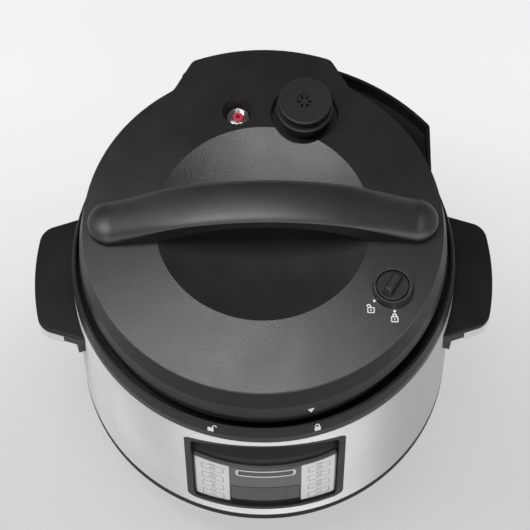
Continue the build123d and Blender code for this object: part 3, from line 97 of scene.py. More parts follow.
class CookerMarks(bpy.types.PropertyGroup):
    """Printed signs on the collar, the skirt, the lid and the control panel."""

    ink: bpy.props.FloatVectorProperty(
        name="Ink", description="Colour of the white printed signs",
        subtype="COLOR", size=3, default=(0.85, 0.85, 0.85))
    key_ink: bpy.props.FloatVectorProperty(
        name="Key ink", description="Colour of the lines on the key films",
        subtype="COLOR", size=3, default=(0.2, 0.2, 0.21))
    film: bpy.props.FloatProperty(
        name="Ink height", description="How far a printed sign stands proud of its surface",
        unit="LENGTH", default=0.00008, min=0.00002, max=0.001)
    padlock: bpy.props.FloatProperty(
        name="Padlock", description="Width of a padlock sign",
        unit="LENGTH", default=0.0054, min=0.001, max=0.02)
    arrow: bpy.props.FloatProperty(
        name="Arrow", description="Width of the arrow on the lid's skirt",
        unit="LENGTH", default=0.0058, min=0.001, max=0.02)
    key_width: bpy.props.FloatProperty(
        name="Key width", description="Width of a key's printed outline",
        unit="LENGTH", default=0.0168, min=0.005, max=0.024)
    key_height: bpy.props.FloatProperty(
        name="Key height", description="Height of a key's printed outline",
        unit="LENGTH", default=0.0106, min=0.004, max=0.016)
    key_pitch: bpy.props.FloatProperty(
        name="Key pitch", description="From one key down to the next",
        unit="LENGTH", default=0.0176, min=0.01, max=0.03)
    badge_width: bpy.props.FloatProperty(
        name="Badge width", description="Width of the bare pill-shaped badge",
        unit="LENGTH", default=0.046, min=0.01, max=0.052)
    badge_height: bpy.props.FloatProperty(
        name="Badge height", description="Height of the bare pill-shaped badge",
        unit="LENGTH", default=0.0122, min=0.004, max=0.02)


class CookerHandle(bpy.types.PropertyGroup):
    """Soft upper shell of the lid's handle."""

    crown: bpy.props.FloatProperty(
        name="Crown", description="Rise of the shell over its edge in the middle of the arch",
        unit="LENGTH", default=0.0042, min=0.001, max=0.012)
    end_crown: bpy.props.FloatProperty(
        name="End crown", description="Rise of the rounded ends over their edge",
        unit="LENGTH", default=0.0092, min=0.001, max=0.0095)
    edge: bpy.props.FloatProperty(
        name="Edge", description="Height of the upright edge under the crown",
        unit="LENGTH", default=0.0009, min=0.0001, max=0.003)


class CookerKnob(bpy.types.PropertyGroup):
    """Latch knob with its grip bar."""

    disc: bpy.props.FloatProperty(
        name="Disc", description="Radius of the knob's disc",
        unit="LENGTH", default=0.0115, min=0.008, max=0.0123)
    sunk: bpy.props.FloatProperty(
        name="Sunk", description="Depth of the disc under the packed knob's top",
        unit="LENGTH", default=0.0028, min=0.001, max=0.004)
    rounding: bpy.props.FloatProperty(
        name="Rounding", description="Rounding of the disc's edge",
        unit="LENGTH", default=0.0005, min=0.0001, max=0.001)
    bar_length: bpy.props.FloatProperty(
        name="Bar length", description="Length of the grip bar at its foot",
        unit="LENGTH", default=0.0222, min=0.01, max=0.0225)
    bar_width: bpy.props.FloatProperty(
        name="Bar width", description="Width of the grip bar at its foot",
        unit="LENGTH", default=0.0076, min=0.004, max=0.01)
    bar_rise: bpy.props.FloatProperty(
        name="Bar rise", description="Height of the grip bar over the disc",
        unit="LENGTH", default=0.0065, min=0.001, max=0.008)
    bar_turn: bpy.props.FloatProperty(
        name="Bar turn", description="Direction of the grip bar from the X axis",
        subtype="ANGLE", default=1.026, min=0.0, max=3.1416)


class CookerStudio(bpy.types.PropertyGroup):
    """Camera, floor and light."""

    tilt: bpy.props.FloatProperty(
        name="Tilt", description="Angle of the view away from straight down",
        subtype="ANGLE", default=radians(25.65))
    roll: bpy.props.FloatProperty(
        name="Roll", description="Turn of the camera about its view",
        subtype="ANGLE", default=radians(-0.5))
    distance: bpy.props.FloatProperty(
        name="Distance", description="From the camera to the middle of the view",
        unit="LENGTH", default=2.123, min=0.5, max=10.0)
    focal: bpy.props.FloatProperty(
        name="Focal length", description="In widths of the image",
        default=FOCAL_PIXELS / FRAME_PIXELS, min=0.5, max=20.0)
    floor_far: bpy.props.FloatVectorProperty(
        name="Far floor", description="Colour of the floor behind the cooker",
        subtype="COLOR", size=3, default=(1.0, 1.0, 1.0))
    # Painted shade: the floor is coloured darker in front of the cooker, where the light falls off
    near_floor_shade: bpy.props.FloatVectorProperty(
        name="Near floor", description="Colour of the floor in front of the cooker",
        subtype="COLOR", size=3, default=(0.67, 0.67, 0.67))
    floor_glow: bpy.props.FloatProperty(
        name="Floor glow", description="Share of the floor's colour that shadows don't reach",
        subtype="FACTOR", default=0.68, min=0.0, max=1.0)
    lamps: bpy.props.FloatProperty(
        name="Lamps", description="Strength of all the softboxes together",
        default=1.0, min=0.0, max=10.0)
    walls: bpy.props.FloatProperty(
        name="Walls", description="Strength of the pale studio walls",
        default=1.0, min=0.0, max=10.0)


# Padlocks on the collar: name, angle from the front in degrees, and the shackle's swing
COLLAR_SIGNS = (("collar_lock_sign", 15.6, 0.0), ("collar_open_sign", -16.0, 0.62))
COLLAR_SIGN_LEVEL = 217.2 * MM
COLLAR_SIGN_STRETCH = 1.05
ARROW_ANGLE = 14.3
ARROW_LEVEL = 236.5 * MM
ARROW_STRETCH = 1.25

# Signs beside the latch knob: name, places of dot and padlock in mm, and the shackle's swing
LATCH_SIGNS = (
    ("latch_open_sign", (80.3, -63.2), (77.8, -68.0), -0.3),
    ("latch_lock_sign", (94.96, -70.56), (94.9, -74.5), 0.0),
)
DOT_RADIUS = 1.0 * MM

# The panel plate's bowed top edge: half its width, and its rise from the middle to the sides
PLATE_HALF = 54.3 * MM
PLATE_RISE = 6.0 * MM

# Strips of keys: the middle of each, and its signs from the top down
KEY_STRIPS = {
    "left": (-40.0 * MM, ("bowl", "clock", "plus", "minus")),
    "right": (41.0 * MM, ("clock", "bowl", "bowl", "power")),
}
TOP_KEY_LEVEL = 128.2 * MM
KEY_CORNER, KEY_LINE = 1.6 * MM, 0.45 * MM
KEY_LAMP = (5.0 * MM, 0.8 * MM)
KEY_LAMP_GAP = 2.2 * MM
KEY_SIGN_DROP = 0.4 * MM

# Badge: level, shift to the right as an angle, line of its rim and the field's lap under it,
# and how far rim and field stand proud
BADGE_LEVEL = 133.0 * MM
BADGE_ANGLE = 0.3 * MM / 0.142
BADGE_LINE = 1.9 * MM
BADGE_LAP = 0.05 * MM
RIM_PROUD, FIELD_PROUD = 0.6 * MM, 0.3 * MM

# Digits: level, places across, height, width and line of each, and the dots between them
DIGIT_LEVEL = 91.5 * MM
DIGIT_PLACES = (-15.0 * MM, -6.0 * MM, 6.0 * MM, 15.0 * MM)
DIGIT_TALL, DIGIT_WIDE, DIGIT_LINE = 12.0 * MM, 6.4 * MM, 1.0 * MM
DIGIT_GAP = 1.2 * DIGIT_LINE
DIGIT_DOT = 0.7 * MM

# Handle shell: faces along and across, how round it is by the distance from its middle,
# and how much of the crown falls gently and how much near the sides
SHELL_CUTS = (96, 28)
ROUND_ENDS = ((0.0, 0.0), (0.06, 0.0), (0.108, 1.0))
GENTLE_FALL, SIDE_FALL = 0.62, 0.38
JUST_INSIDE = 0.99

# Latch knob's grip bar: part inside the disc, shares of length and width at its top, rounding
BAR_ROOT = 1.5 * MM
BAR_TOP = (0.66, 0.8)
BAR_ROUNDING = 1.3 * MM

# Rays start this far outside what they look for
RAY_ROOM = 0.01

# Floor: half its size, and where it turns from the near colour to the far one; the darker near
# colour is painted shade where the light falls off towards the front
FLOOR_HALF = 6.0
FLOOR_SHADE_TURN = (-0.14, 0.3)

# Softboxes: name, place, the point faced, width, depth and watts
SOFTBOXES = (
    ("top_softbox", (-0.3, -0.06, 1.35), (-0.3, -0.06, 0.0), 1.1, 0.45, 9.8),
    ("front_softbox", (0.2, -1.4, 0.95), (0.05, 0.0, 0.2), 2.4, 1.0, 17.0),
    ("left_softbox", (-1.4, 0.2, 1.0), (0.0, 0.0, 0.2), 1.4, 1.0, 2.0),
    ("right_softbox", (1.4, 0.2, 1.0), (0.0, 0.0, 0.2), 1.4, 1.0, 1.2),
)

# Studio walls: height of the direction, from 0 at the horizon to 1 overhead, and brightness
WALLS = ((0.0, 0.8), (0.1, 0.7), (0.3, 0.1), (1.0, 0.05))


# Materials. Most of a noise lies between these two levels; clouds and patches are its broad forms.
NOISE_LOW, NOISE_HIGH = 0.3, 0.7
CLOUD_SIZE, PATCH_SIZE = 0.03, 0.05
PATCH_SHARE = 0.45
LINE_DEPTH = 0.00002
QUARTER_TURN = 0.25
DARK_GLASS = (0.006, 0.006, 0.007)


def material_on(name):
    """A new material with its tree, its Principled shader and Object coordinates."""
    material = bpy.data.materials.new(name)
    material.use_nodes = True
    tree = material.node_tree
    place = tree.nodes.new("ShaderNodeTexCoord").outputs["Object"]
    return material, tree, tree.nodes["Principled BSDF"], place


def grain(tree, place, size, detail=2.0, stretch=(1.0, 1.0, 1.0)):
    """Noise whose blobs are about one size across, or streaks where it is stretched."""
    mapping = tree.nodes.new("ShaderNodeMapping")
    mapping.inputs["Scale"].default_value = stretch
    texture = tree.nodes.new("ShaderNodeTexNoise")
    texture.inputs["Scale"].default_value = 1.0 / size
    texture.inputs["Detail"].default_value = detail
    tree.links.new(place, mapping.inputs["Vector"])
    tree.links.new(mapping.outputs["Vector"], texture.inputs["Vector"])
    return texture.outputs["Fac"]


def tint(tree, factor, socket, color, spread):
    """The colour, a little darker and lighter with the factor."""
    ramp = tree.nodes.new("ShaderNodeValToRGB")
    ends = ((NOISE_LOW, 1 - spread), (NOISE_HIGH, 1 + spread))
    for element, (position, level) in zip(ramp.color_ramp.elements, ends):
        element.position = position
        element.color = [min(channel * level, 1.0) for channel in color] + [1.0]
    tree.links.new(factor, ramp.inputs["Fac"])
    tree.links.new(ramp.outputs["Color"], socket)


def vary(tree, factor, socket, low, high):
    """A number that follows the factor between two ends."""
    span = tree.nodes.new("ShaderNodeMapRange")
    span.inputs["From Min"].default_value = NOISE_LOW
    span.inputs["From Max"].default_value = NOISE_HIGH
    span.inputs["To Min"].default_value = low
    span.inputs["To Max"].default_value = high
    tree.links.new(factor, span.inputs["Value"])
    tree.links.new(span.outputs["Result"], socket)


def relief(tree, factor, surface, depth, strength=0.6):
    """Bump of a depth in metres."""
    bump = tree.nodes.new("ShaderNodeBump")
    bump.inputs["Strength"].default_value = strength
    bump.inputs["Distance"].default_value = depth
    tree.links.new(factor, bump.inputs["Height"])
    tree.links.new(bump.outputs["Normal"], surface.inputs["Normal"])


def along(tree, place, axis, low, high):
    """A factor that goes from 0 to 1 between two places on an axis."""
    split = tree.nodes.new("ShaderNodeSeparateXYZ")
    tree.links.new(place, split.inputs["Vector"])
    span = tree.nodes.new("ShaderNodeMapRange")
    span.inputs["From Min"].default_value = low
    span.inputs["From Max"].default_value = high
    tree.links.new(split.outputs[axis], span.inputs["Value"])
    return span.outputs["Result"]


def moulded(name, color, rough, size, depth, specular=0.5, spread=0.12):
    """Moulded plastic or rubber: fine grain, slightly uneven colour and gloss."""
    material, tree, surface, place = material_on(name)
    fine = grain(tree, place, size)
    cloud = grain(tree, place, CLOUD_SIZE, 3.0)
    tint(tree, cloud, surface.inputs["Base Color"], color, spread)
    vary(tree, cloud, surface.inputs["Roughness"], rough - 0.03, rough + 0.03)
    relief(tree, fine, surface, depth)
    surface.inputs["Specular IOR Level"].default_value = specular
    return material


def brushed(name, color, rough, stretch, size=0.0006, spread=0.10, anisotropic=0.5):
    """Metal with fine lines left by brushing or turning, which spread a highlight across them."""
    material, tree, surface, place = material_on(name)
    lines = grain(tree, place, size, 3.0, stretch)
    patches = grain(tree, place, PATCH_SIZE, 2.0, (1.0, 1.0, 0.6))
    mottle = tree.nodes.new("ShaderNodeMix")
    mottle.inputs["Factor"].default_value = PATCH_SHARE
    tree.links.new(lines, mottle.inputs["A"])
    tree.links.new(patches, mottle.inputs["B"])
    tint(tree, mottle.outputs["Result"], surface.inputs["Base Color"], color, spread)
    vary(tree, patches, surface.inputs["Roughness"], rough - 0.04, rough + 0.04)
    relief(tree, lines, surface, LINE_DEPTH, 0.4)
    surface.inputs["Metallic"].default_value = 1.0
    surface.inputs["Anisotropic"].default_value = anisotropic
    surface.inputs["Anisotropic Rotation"].default_value = QUARTER_TURN
    return material


def clear(name, color, rough):
    """Clear plastic with a little haze."""
    material, tree, surface, place = material_on(name)
    haze = grain(tree, place, 0.004, 3.0)
    tint(tree, haze, surface.inputs["Base Color"], color, 0.03)
    vary(tree, haze, surface.inputs["Roughness"], rough, rough + 0.08)
    surface.inputs["Transmission Weight"].default_value = 0.9
    surface.inputs["IOR"].default_value = 1.49
    return material


def two_tone_film(name, upper, lower, edge, rough):
    """Film that is one colour above a height and another below it."""
    material, tree, surface, place = material_on(name)
    ramp = tree.nodes.new("ShaderNodeValToRGB")
    ramp.color_ramp.interpolation = "CONSTANT"
    ramp.color_ramp.elements[0].color = (*lower, 1.0)
    ramp.color_ramp.elements[1].color = (*upper, 1.0)
    ramp.color_ramp.elements[1].position = 0.5
    tree.links.new(along(tree, place, "Z", edge - 0.01, edge + 0.01), ramp.inputs["Fac"])
    tree.links.new(ramp.outputs["Color"], surface.inputs["Base Color"])
    cloud = grain(tree, place, 0.02, 3.0)
    vary(tree, cloud, surface.inputs["Roughness"], rough - 0.03, rough + 0.03)
    relief(tree, grain(tree, place, 0.0003), surface, 0.000005)
    return material


def dress(material, *names):
    """Give a finish to CAD nodes."""
    for name in names:
        slots = NODES[name].data.materials
        slots.clear()
        slots.append(material)


# Printed signs and thin plates, drawn flat and then laid on what carries them

def add_bar(bm, width, height, corner=0.0, at=(0.0, 0.0), cuts=1):
    """A flat bar, with round corners where they are given. Returns its faces."""
    before = set(bm.faces)
    made = bmesh.ops.create_grid(bm, x_segments=cuts, y_segments=1, size=0.5)["verts"]
    bmesh.ops.scale(bm, vec=(width, height, 1.0), verts=made)
    bmesh.ops.translate(bm, vec=(at[0], at[1], 0.0), verts=made)
    if corner > 0:
        ends = [vert for vert in made if len(vert.link_edges) == 2]
        bmesh.ops.bevel(
            bm, geom=ends, offset=corner, offset_type="OFFSET", affect="VERTICES",
            segments=6, profile=0.5, material=-1)
    return [face for face in bm.faces if face not in before]


def outline(bm, faces, line):
    """Keep only a line of the given width inside the faces' edge."""
    bmesh.ops.inset_region(
        bm, faces=faces, thickness=line, use_boundary=True, use_even_offset=True)
    bmesh.ops.delete(bm, geom=faces, context="FACES")


def add_arch(bm, radius, line, at, start, sweep, steps=14):
    """A flat arc of the given line width."""
    before = set(bm.verts)
    ends = [bm.verts.new((radius + side * line / 2, 0.0, 0.0)) for side in (-1, 1)]
    edge = bm.edges.new(ends)
    bmesh.ops.rotate(bm, verts=ends, cent=(0, 0, 0), matrix=Matrix.Rotation(start, 3, "Z"))
    bmesh.ops.spin(
        bm, geom=ends + [edge], axis=(0, 0, 1), cent=(0, 0, 0), angle=sweep, steps=steps,
        use_merge=sweep >= 2 * pi)
    arc = [vert for vert in bm.verts if vert not in before]
    bmesh.ops.translate(bm, vec=(at[0], at[1], 0.0), verts=arc)


def add_disc(bm, radius, at=(0.0, 0.0), segments=24):
    """A flat round dot, or a regular shape with few segments."""
    made = bmesh.ops.create_circle(bm, cap_ends=True, segments=segments, radius=radius)["verts"]
    bmesh.ops.translate(bm, vec=(at[0], at[1], 0.0), verts=made)
    return made


def add_padlock(bm, width, swing, hollow):
    """A padlock: a body, solid or in outline, and a shackle that is shut or swung to a side.

    All its sizes are shares of its width.
    """
    line = width * 0.17
    tall = width * 0.85
    faces = add_bar(bm, width, tall, width * 0.14, (0.0, -tall / 2))
    if hollow:
        outline(bm, faces, line * 0.8)
        add_bar(bm, line * 0.8, tall * 0.32, 0.0, (0.0, -tall / 2))
    radius = width * (0.24 if hollow else 0.3)
    leg = width * (0.1 if hollow else 0.28)
    add_arch(bm, radius, line, (swing * width, leg), 0.0, pi)
    for side in (-1, 1):
        if side * swing <= 0:
            add_bar(bm, line, leg, 0.0, (swing * width + side * radius, leg / 2))


def key_sign(bm, kind, at):
    """A small general sign in the middle of a key."""
    x, y = at
    if kind == "bowl":
        add_arch(bm, 2.0 * MM, 0.5 * MM, (x, y + 0.6 * MM), pi, pi)
        add_bar(bm, 5.0 * MM, 0.5 * MM, 0.0, (x, y + 0.6 * MM), 4)
        for step in (-1, 0, 1):
            add_bar(bm, 0.45 * MM, 1.4 * MM, 0.0, (x + step * 1.3 * MM, y + 2.2 * MM))
    elif kind == "clock":
        add_arch(bm, 2.2 * MM, 0.5 * MM, at, 0.0, 2 * pi, 24)
        add_bar(bm, 0.45 * MM, 1.5 * MM, 0.0, (x, y + 0.75 * MM))
        add_bar(bm, 1.2 * MM, 0.45 * MM, 0.0, (x + 0.6 * MM, y))
    elif kind == "power":
        add_arch(bm, 2.0 * MM, 0.5 * MM, at, radians(125), radians(290), 22)
        add_bar(bm, 0.5 * MM, 2.2 * MM, 0.0, (x, y + 1.5 * MM))
    else:
        add_bar(bm, 4.2 * MM, 0.6 * MM, 0.0, at, 4)
        if kind == "plus":
            for side in (-1, 1):
                add_bar(bm, 0.6 * MM, 1.8 * MM, 0.0, (x, y + side * 1.2 * MM))


def lay_round(bm, carrier, angle, height, film):
    """Wrap a flat drawing on a wall round the cooker's axis, at an angle from the front."""
    wall = NODES[carrier]
    reach = max(abs(value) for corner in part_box(carrier) for value in corner[:2])
    for vert in bm.verts:
        turn = angle + vert.co.x / reach
        outward = Vector((sin(turn), -cos(turn), 0.0))
        level = Vector((0.0, 0.0, height + vert.co.y))
        found, spot, _, _ = wall.ray_cast(outward * reach * 1.5 + level, -outward)
        if not found:
            raise RuntimeError(f"a sign misses {carrier}")
        vert.co = spot + outward * (film if vert.co.z > 0 else -film)


def lay_down(bm, carrier, at, film):
    """Drop a flat drawing on to a surface that faces up, at a place in mm."""
    ground = NODES[carrier]
    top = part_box(carrier)[1][2] + RAY_ROOM
    for vert in bm.verts:
        start = Vector((at[0] * MM + vert.co.x, at[1] * MM + vert.co.y, top))
        found, spot, _, _ = ground.ray_cast(start, Vector((0.0, 0.0, -1.0)))
        if not found:
            raise RuntimeError(f"a sign misses {carrier}")
        vert.co = spot + Vector((0.0, 0.0, film if vert.co.z > 0 else -film))


def thicken(bm):
    """Close a flat drawing into a sheet. Its upper side is only marked, by a height above zero."""
    bmesh.ops.remove_doubles(bm, verts=bm.verts, dist=1e-7)
    bmesh.ops.recalc_face_normals(bm, faces=bm.faces)
    grown = bmesh.ops.extrude_face_region(bm, geom=bm.faces[:], use_keep_orig=True)["geom"]
    lifted = [item for item in grown if isinstance(item, bmesh.types.BMVert)]
    bmesh.ops.translate(bm, vec=(0.0, 0.0, 1.0), verts=lifted)
    bmesh.ops.recalc_face_normals(bm, faces=bm.faces)


def bow(bm):
    """Bend a flat drawing so that its sides rise as the panel plate's top edge does."""
    for vert in bm.verts:
        vert.co.y += PLATE_RISE * (vert.co.x / PLATE_HALF) ** 2


def between(stations, place):
    """A smooth value between the stations on both sides of a place."""
    for (near, low), (far, high) in zip(stations, stations[1:]):
        if place <= far:
            share = (place - near) / (far - near)
            return low + (high - low) * share * share * (3 - 2 * share)
    return stations[-1][1]


def piece_from(bm, name, material, body):
    """Make the finished piece, which rides on a body."""
    mesh = bpy.data.meshes.new(name)
    bm.to_mesh(mesh)
    bm.free()
    piece = bpy.data.objects.new(name, mesh)
    bpy.context.scene.collection.objects.link(piece)
    mesh.materials.append(material)
    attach(piece, body)
    return piece


def ink_of(name, color, rough=0.5):
    """Matt printing ink with a faint screen grain."""
    return moulded(name, color, rough, 0.0004, 0.00001, spread=0.04)


class COOKER_OT_finishes(bpy.types.Operator):
    """Give every CAD node its own finish"""

    bl_idname = "cooker.finishes"
    bl_label = "Finishes"

    def execute(self, context):
        props = context.scene.cooker_finishes
        # Plastics and rubber: name, colour, roughness, size and depth of the grain, specular level
        lid = moulded("lid_textured_black", props.lid_black, 0.42, props.lid_grain, 0.0002, 0.9)
        handle = moulded(
            "handle_textured_black", props.lid_black, 0.46, props.lid_grain, 0.00016, 0.95)
        satin = moulded("satin_black", props.satin_black, 0.4, 0.0006, 0.00001, 0.3)
        knob = moulded("knob_black", (0.011, 0.011, 0.0115), 0.45, 0.0006, 0.00002)
        rough_black = moulded("grained_black", (0.004, 0.004, 0.0042), 0.5, 0.0006, 0.00004, 0.15)
        panel = moulded("panel_black", props.panel_black, 0.45, 0.0009, 0.00008, 0.3)
        # Painted highlight: the plate's grey is lighter than the bezel's black, for the light
        # caught on its top edge
        ledge = moulded("ledge_highlight_grey", props.ledge_highlight_grey, 0.4, 0.0006, 0.00002)
        key_film = moulded("key_film_white", props.key_white, 0.35, 0.0003, 0.000005, spread=0.03)
        center_film = two_tone_film(
            "center_film_grey", props.center_grey, DARK_GLASS, props.glass_top, 0.3)
        window = moulded("display_window_black", DARK_GLASS, 0.12, 0.02, 0.000002)
        silicone = moulded(
            "silicone_clear_white", (0.62, 0.62, 0.6), 0.45, 0.0008, 0.00002, spread=0.05)
        rubber = moulded("foot_rubber", (0.03, 0.03, 0.03), 0.75, 0.0006, 0.00006)
        red = moulded("float_red", props.float_red, 0.3, 0.0005, 0.00001)
        board = moulded("circuit_green", (0.02, 0.12, 0.05), 0.4, 0.002, 0.00003, spread=0.25)
        module = moulded("module_black", (0.015, 0.015, 0.016), 0.4, 0.0006, 0.00002)
        magnet = moulded("magnet_black", (0.03, 0.03, 0.032), 0.45, 0.0008, 0.00004)
        # Metals: name, colour, roughness, stretch of the lines, and their size and spread of colour
        sleeve = brushed(
            "sleeve_brushed_steel", props.steel, 0.55, (0.02, 0.02, 1.0), anisotropic=0.9)
        pot = brushed("pot_brushed_steel", (0.62, 0.61, 0.6), 0.28, (0.02, 0.02, 1.0))
        pressed = brushed("pressed_steel", (0.58, 0.57, 0.56), 0.3, (0.3, 0.3, 1.0), spread=0.06)
        nickel = brushed("bush_nickel", (0.8, 0.79, 0.77), 0.18, (0.2, 0.2, 1.0), spread=0.05)
        liner = brushed("liner_steel", (0.5, 0.5, 0.5), 0.4, (0.1, 0.1, 1.0))
        cast = brushed(
            "cast_aluminium", (0.55, 0.55, 0.55), 0.5, (1.0, 1.0, 1.0), 0.001, 0.15,
            anisotropic=0.0)
        trim = brushed("bright_trim", (0.86, 0.86, 0.86), 0.2, (0.1, 0.1, 1.0), spread=0.05)
        screws = brushed("screw_steel", (0.5, 0.5, 0.5), 0.35, (1.0, 1.0, 1.0), anisotropic=0.0)
        brass = brushed(
            "pin_brass", (0.66, 0.5, 0.25), 0.35, (1.0, 1.0, 0.2), spread=0.08, anisotropic=0.0)
        cup = clear("cup_clear", (0.9, 0.92, 0.92), 0.08)

        dress(lid, "lid_cover")
        dress(handle, "handle_top")
        dress(knob, "steam_cap", "latch_knob")
        dress(satin, "lid_skirt", "handle_base", "latch_spindle", "latch_tongue", "top_collar",
              "side_handle_left", "side_handle_right", "valve_guide", "interlock_shuttle")
        dress(rough_black, "base_housing", "bottom_cover", "power_inlet")
        dress(panel, "panel_bezel")
        dress(ledge, "panel_plate")
        dress(key_film, "keypad_left", "keypad_right")
        dress(center_film, "center_overlay")
        dress(window, "display_window")
        dress(silicone, "sealing_ring", "float_seal")
        dress(rubber, "rubber_feet")
        dress(red, "float_pin")
        dress(nickel, "float_bush")
        dress(board, "control_board", "power_board")
        dress(module, "display_module", "reed_switch")
        dress(magnet, "shuttle_magnet")
        dress(sleeve, "steel_sleeve")
        dress(pot, "inner_pot")
        dress(pressed, "inner_lid", "ring_rack", "exhaust_pipe", "vent_shield", "valve_weight")
        dress(liner, "outer_pot")
        dress(cast, "heating_plate", "sensor_cup", "sensor_cap")
        dress(trim, "handle_trim_left", "handle_trim_right")
        dress(screws, "bottom_screws", "side_handle_screws", "lid_handle_screws",
              "inner_lid_screws", "heating_element")
        dress(brass, "inlet_pins")
        dress(cup, "condensation_cup")
        return {"FINISHED"}


class COOKER_OT_handle(bpy.types.Operator):
    """Shape the handle's soft upper shell over the arch's parting line"""

    bl_idname = "cooker.handle"
    bl_label = "Handle"

    def execute(self, context):
        props = context.scene.cooker_handle
        low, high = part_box("handle_top")
        half_length, half_width = high[:2]
        bm = bmesh.new()
        bmesh.ops.create_grid(bm, x_segments=SHELL_CUTS[0], y_segments=SHELL_CUTS[1], size=1.0)
        grown = bmesh.ops.extrude_face_region(bm, geom=bm.faces[:], use_keep_orig=True)["geom"]
        crest = {item for item in grown if isinstance(item, bmesh.types.BMVert)}
        for vert in bm.verts:
            x, across = sin(vert.co.x * pi / 2) * half_length, sin(vert.co.y * pi / 2)
            past = max(abs(x) - (half_length - half_width), 0.0) / half_width
            tip = max(1.0 - past * past, 0.0) ** 0.5
            z = self.parting_height(Vector((x * JUST_INSIDE, 0.0, low[2] - RAY_ROOM)))
            if vert in crest:
                ball = between(ROUND_ENDS, abs(x))
                crown = props.crown + (props.end_crown - props.crown) * ball
                side = abs(across)
                soft = 1.0 - GENTLE_FALL * side ** 2 - SIDE_FALL * side ** 8
                round_top = max(1.0 - side * side, 0.0) ** 0.5
                z += props.edge + tip * (crown - props.edge) * (soft + (round_top - soft) * ball)
            vert.co = (x, across * tip * half_width, z)
        bmesh.ops.remove_doubles(bm, verts=bm.verts, dist=1e-6)
        bmesh.ops.recalc_face_normals(bm, faces=bm.faces)
        finish = bpy.data.materials["handle_textured_black"]
        shell = piece_from(bm, "handle_shell", finish, "lid")
        shell.data.shade_smooth()
        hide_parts("handle_top")
        return {"FINISHED"}

    def parting_height(self, start):
        """The height of the arch's parting line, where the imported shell's underside is."""
        found, spot, _, _ = NODES["handle_top"].ray_cast(start, Vector((0.0, 0.0, 1.0)))
        if not found:
            raise RuntimeError("the handle's parting line ends too early")
        return spot.z


class COOKER_OT_knob(bpy.types.Operator):
    """Shape the latch knob with its tall grip bar"""

    bl_idname = "cooker.knob"
    bl_label = "Knob"

    def execute(self, context):
        props = context.scene.cooker_knob
        low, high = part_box("latch_knob")
        top = high[2] - props.sunk
        bm = bmesh.new()
        bmesh.ops.create_cone(
            bm, cap_ends=True, segments=72, radius1=props.disc, radius2=props.disc,
            depth=top - low[2])
        bmesh.ops.translate(bm, vec=(0.0, 0.0, (top + low[2]) / 2), verts=bm.verts)
        cap = max(bm.faces, key=lambda face: face.calc_center_median().z)
        bmesh.ops.bevel(
            bm, geom=cap.edges[:], offset=props.rounding, offset_type="OFFSET", affect="EDGES",
            segments=3, profile=0.5, clamp_overlap=True, material=-1)
        self.add_bar_grip(bm, props, top)
        axis = [(low[side] + high[side]) / 2 for side in (0, 1)]
        bmesh.ops.translate(bm, vec=(*axis, 0.0), verts=bm.verts)
        bmesh.ops.recalc_face_normals(bm, faces=bm.faces)
        finish = bpy.data.materials["knob_black"]
        grip = piece_from(bm, "latch_grip", finish, "latch")
        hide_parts("latch_knob")
        return {"FINISHED"}

    def add_bar_grip(self, bm, props, top):
        """A bar that narrows upward from inside the disc, with its edges rounded."""
        foot = top - BAR_ROOT
        rise = props.bar_rise + BAR_ROOT
        bar = bmesh.ops.create_cube(bm, size=1.0)["verts"]
        for vert in bar:
            length, width = BAR_TOP if vert.co.z > 0 else (1.0, 1.0)
            vert.co = (
                vert.co.x * props.bar_length * length, vert.co.y * props.bar_width * width,
                foot + (vert.co.z + 0.5) * rise)
        bmesh.ops.rotate(bm, matrix=Matrix.Rotation(props.bar_turn, 3, "Z"), verts=bar)
        edges = list({edge for vert in bar for edge in vert.link_edges})
        bmesh.ops.bevel(
            bm, geom=edges, offset=BAR_ROUNDING, offset_type="OFFSET", affect="EDGES",
            segments=4, profile=0.5, clamp_overlap=True, material=-1)


class COOKER_OT_lock_signs(bpy.types.Operator):
    """Print the padlocks on the collar and the arrow on the lid's skirt"""

    bl_idname = "cooker.lock_signs"
    bl_label = "Lock signs"

    def execute(self, context):
        props = context.scene.cooker_marks
        ink = ink_of("sign_ink", props.ink)
        for name, angle, swing in COLLAR_SIGNS:
            bm = bmesh.new()
            add_padlock(bm, props.padlock, swing, False)
            bmesh.ops.scale(bm, vec=(1.0, COLLAR_SIGN_STRETCH, 1.0), verts=bm.verts)
            thicken(bm)
            lay_round(bm, "top_collar", radians(angle), COLLAR_SIGN_LEVEL, props.film)
            piece_from(bm, name, ink, "base")
        bm = bmesh.new()
        corner = add_disc(bm, props.arrow / 3 ** 0.5, segments=3)
        bmesh.ops.rotate(bm, verts=corner, cent=(0, 0, 0), matrix=Matrix.Rotation(pi, 3, "Z"))
        bmesh.ops.scale(bm, vec=(1.0, ARROW_STRETCH, 1.0), verts=corner)
        thicken(bm)
        lay_round(bm, "lid_skirt", radians(ARROW_ANGLE), ARROW_LEVEL, props.film)
        piece_from(bm, "skirt_arrow_sign", ink, "lid")
        return {"FINISHED"}


class COOKER_OT_latch_signs(bpy.types.Operator):
    """Print the two dots and padlocks beside the latch knob"""

    bl_idname = "cooker.latch_signs"
    bl_label = "Latch signs"

    def execute(self, context):
        props = context.scene.cooker_marks
        ink = ink_of("latch_ink", props.ink)
        for name, spot, lock, swing in LATCH_SIGNS:
            bm = bmesh.new()
            add_disc(bm, DOT_RADIUS)
            thicken(bm)
            lay_down(bm, "lid_cover", spot, props.film)
            piece_from(bm, f"{name}_dot", ink, "lid")
            bm = bmesh.new()
            add_padlock(bm, props.padlock, swing, True)
            thicken(bm)
            lay_down(bm, "lid_cover", lock, props.film)
            piece_from(bm, f"{name}_padlock", ink, "lid")
        return {"FINISHED"}


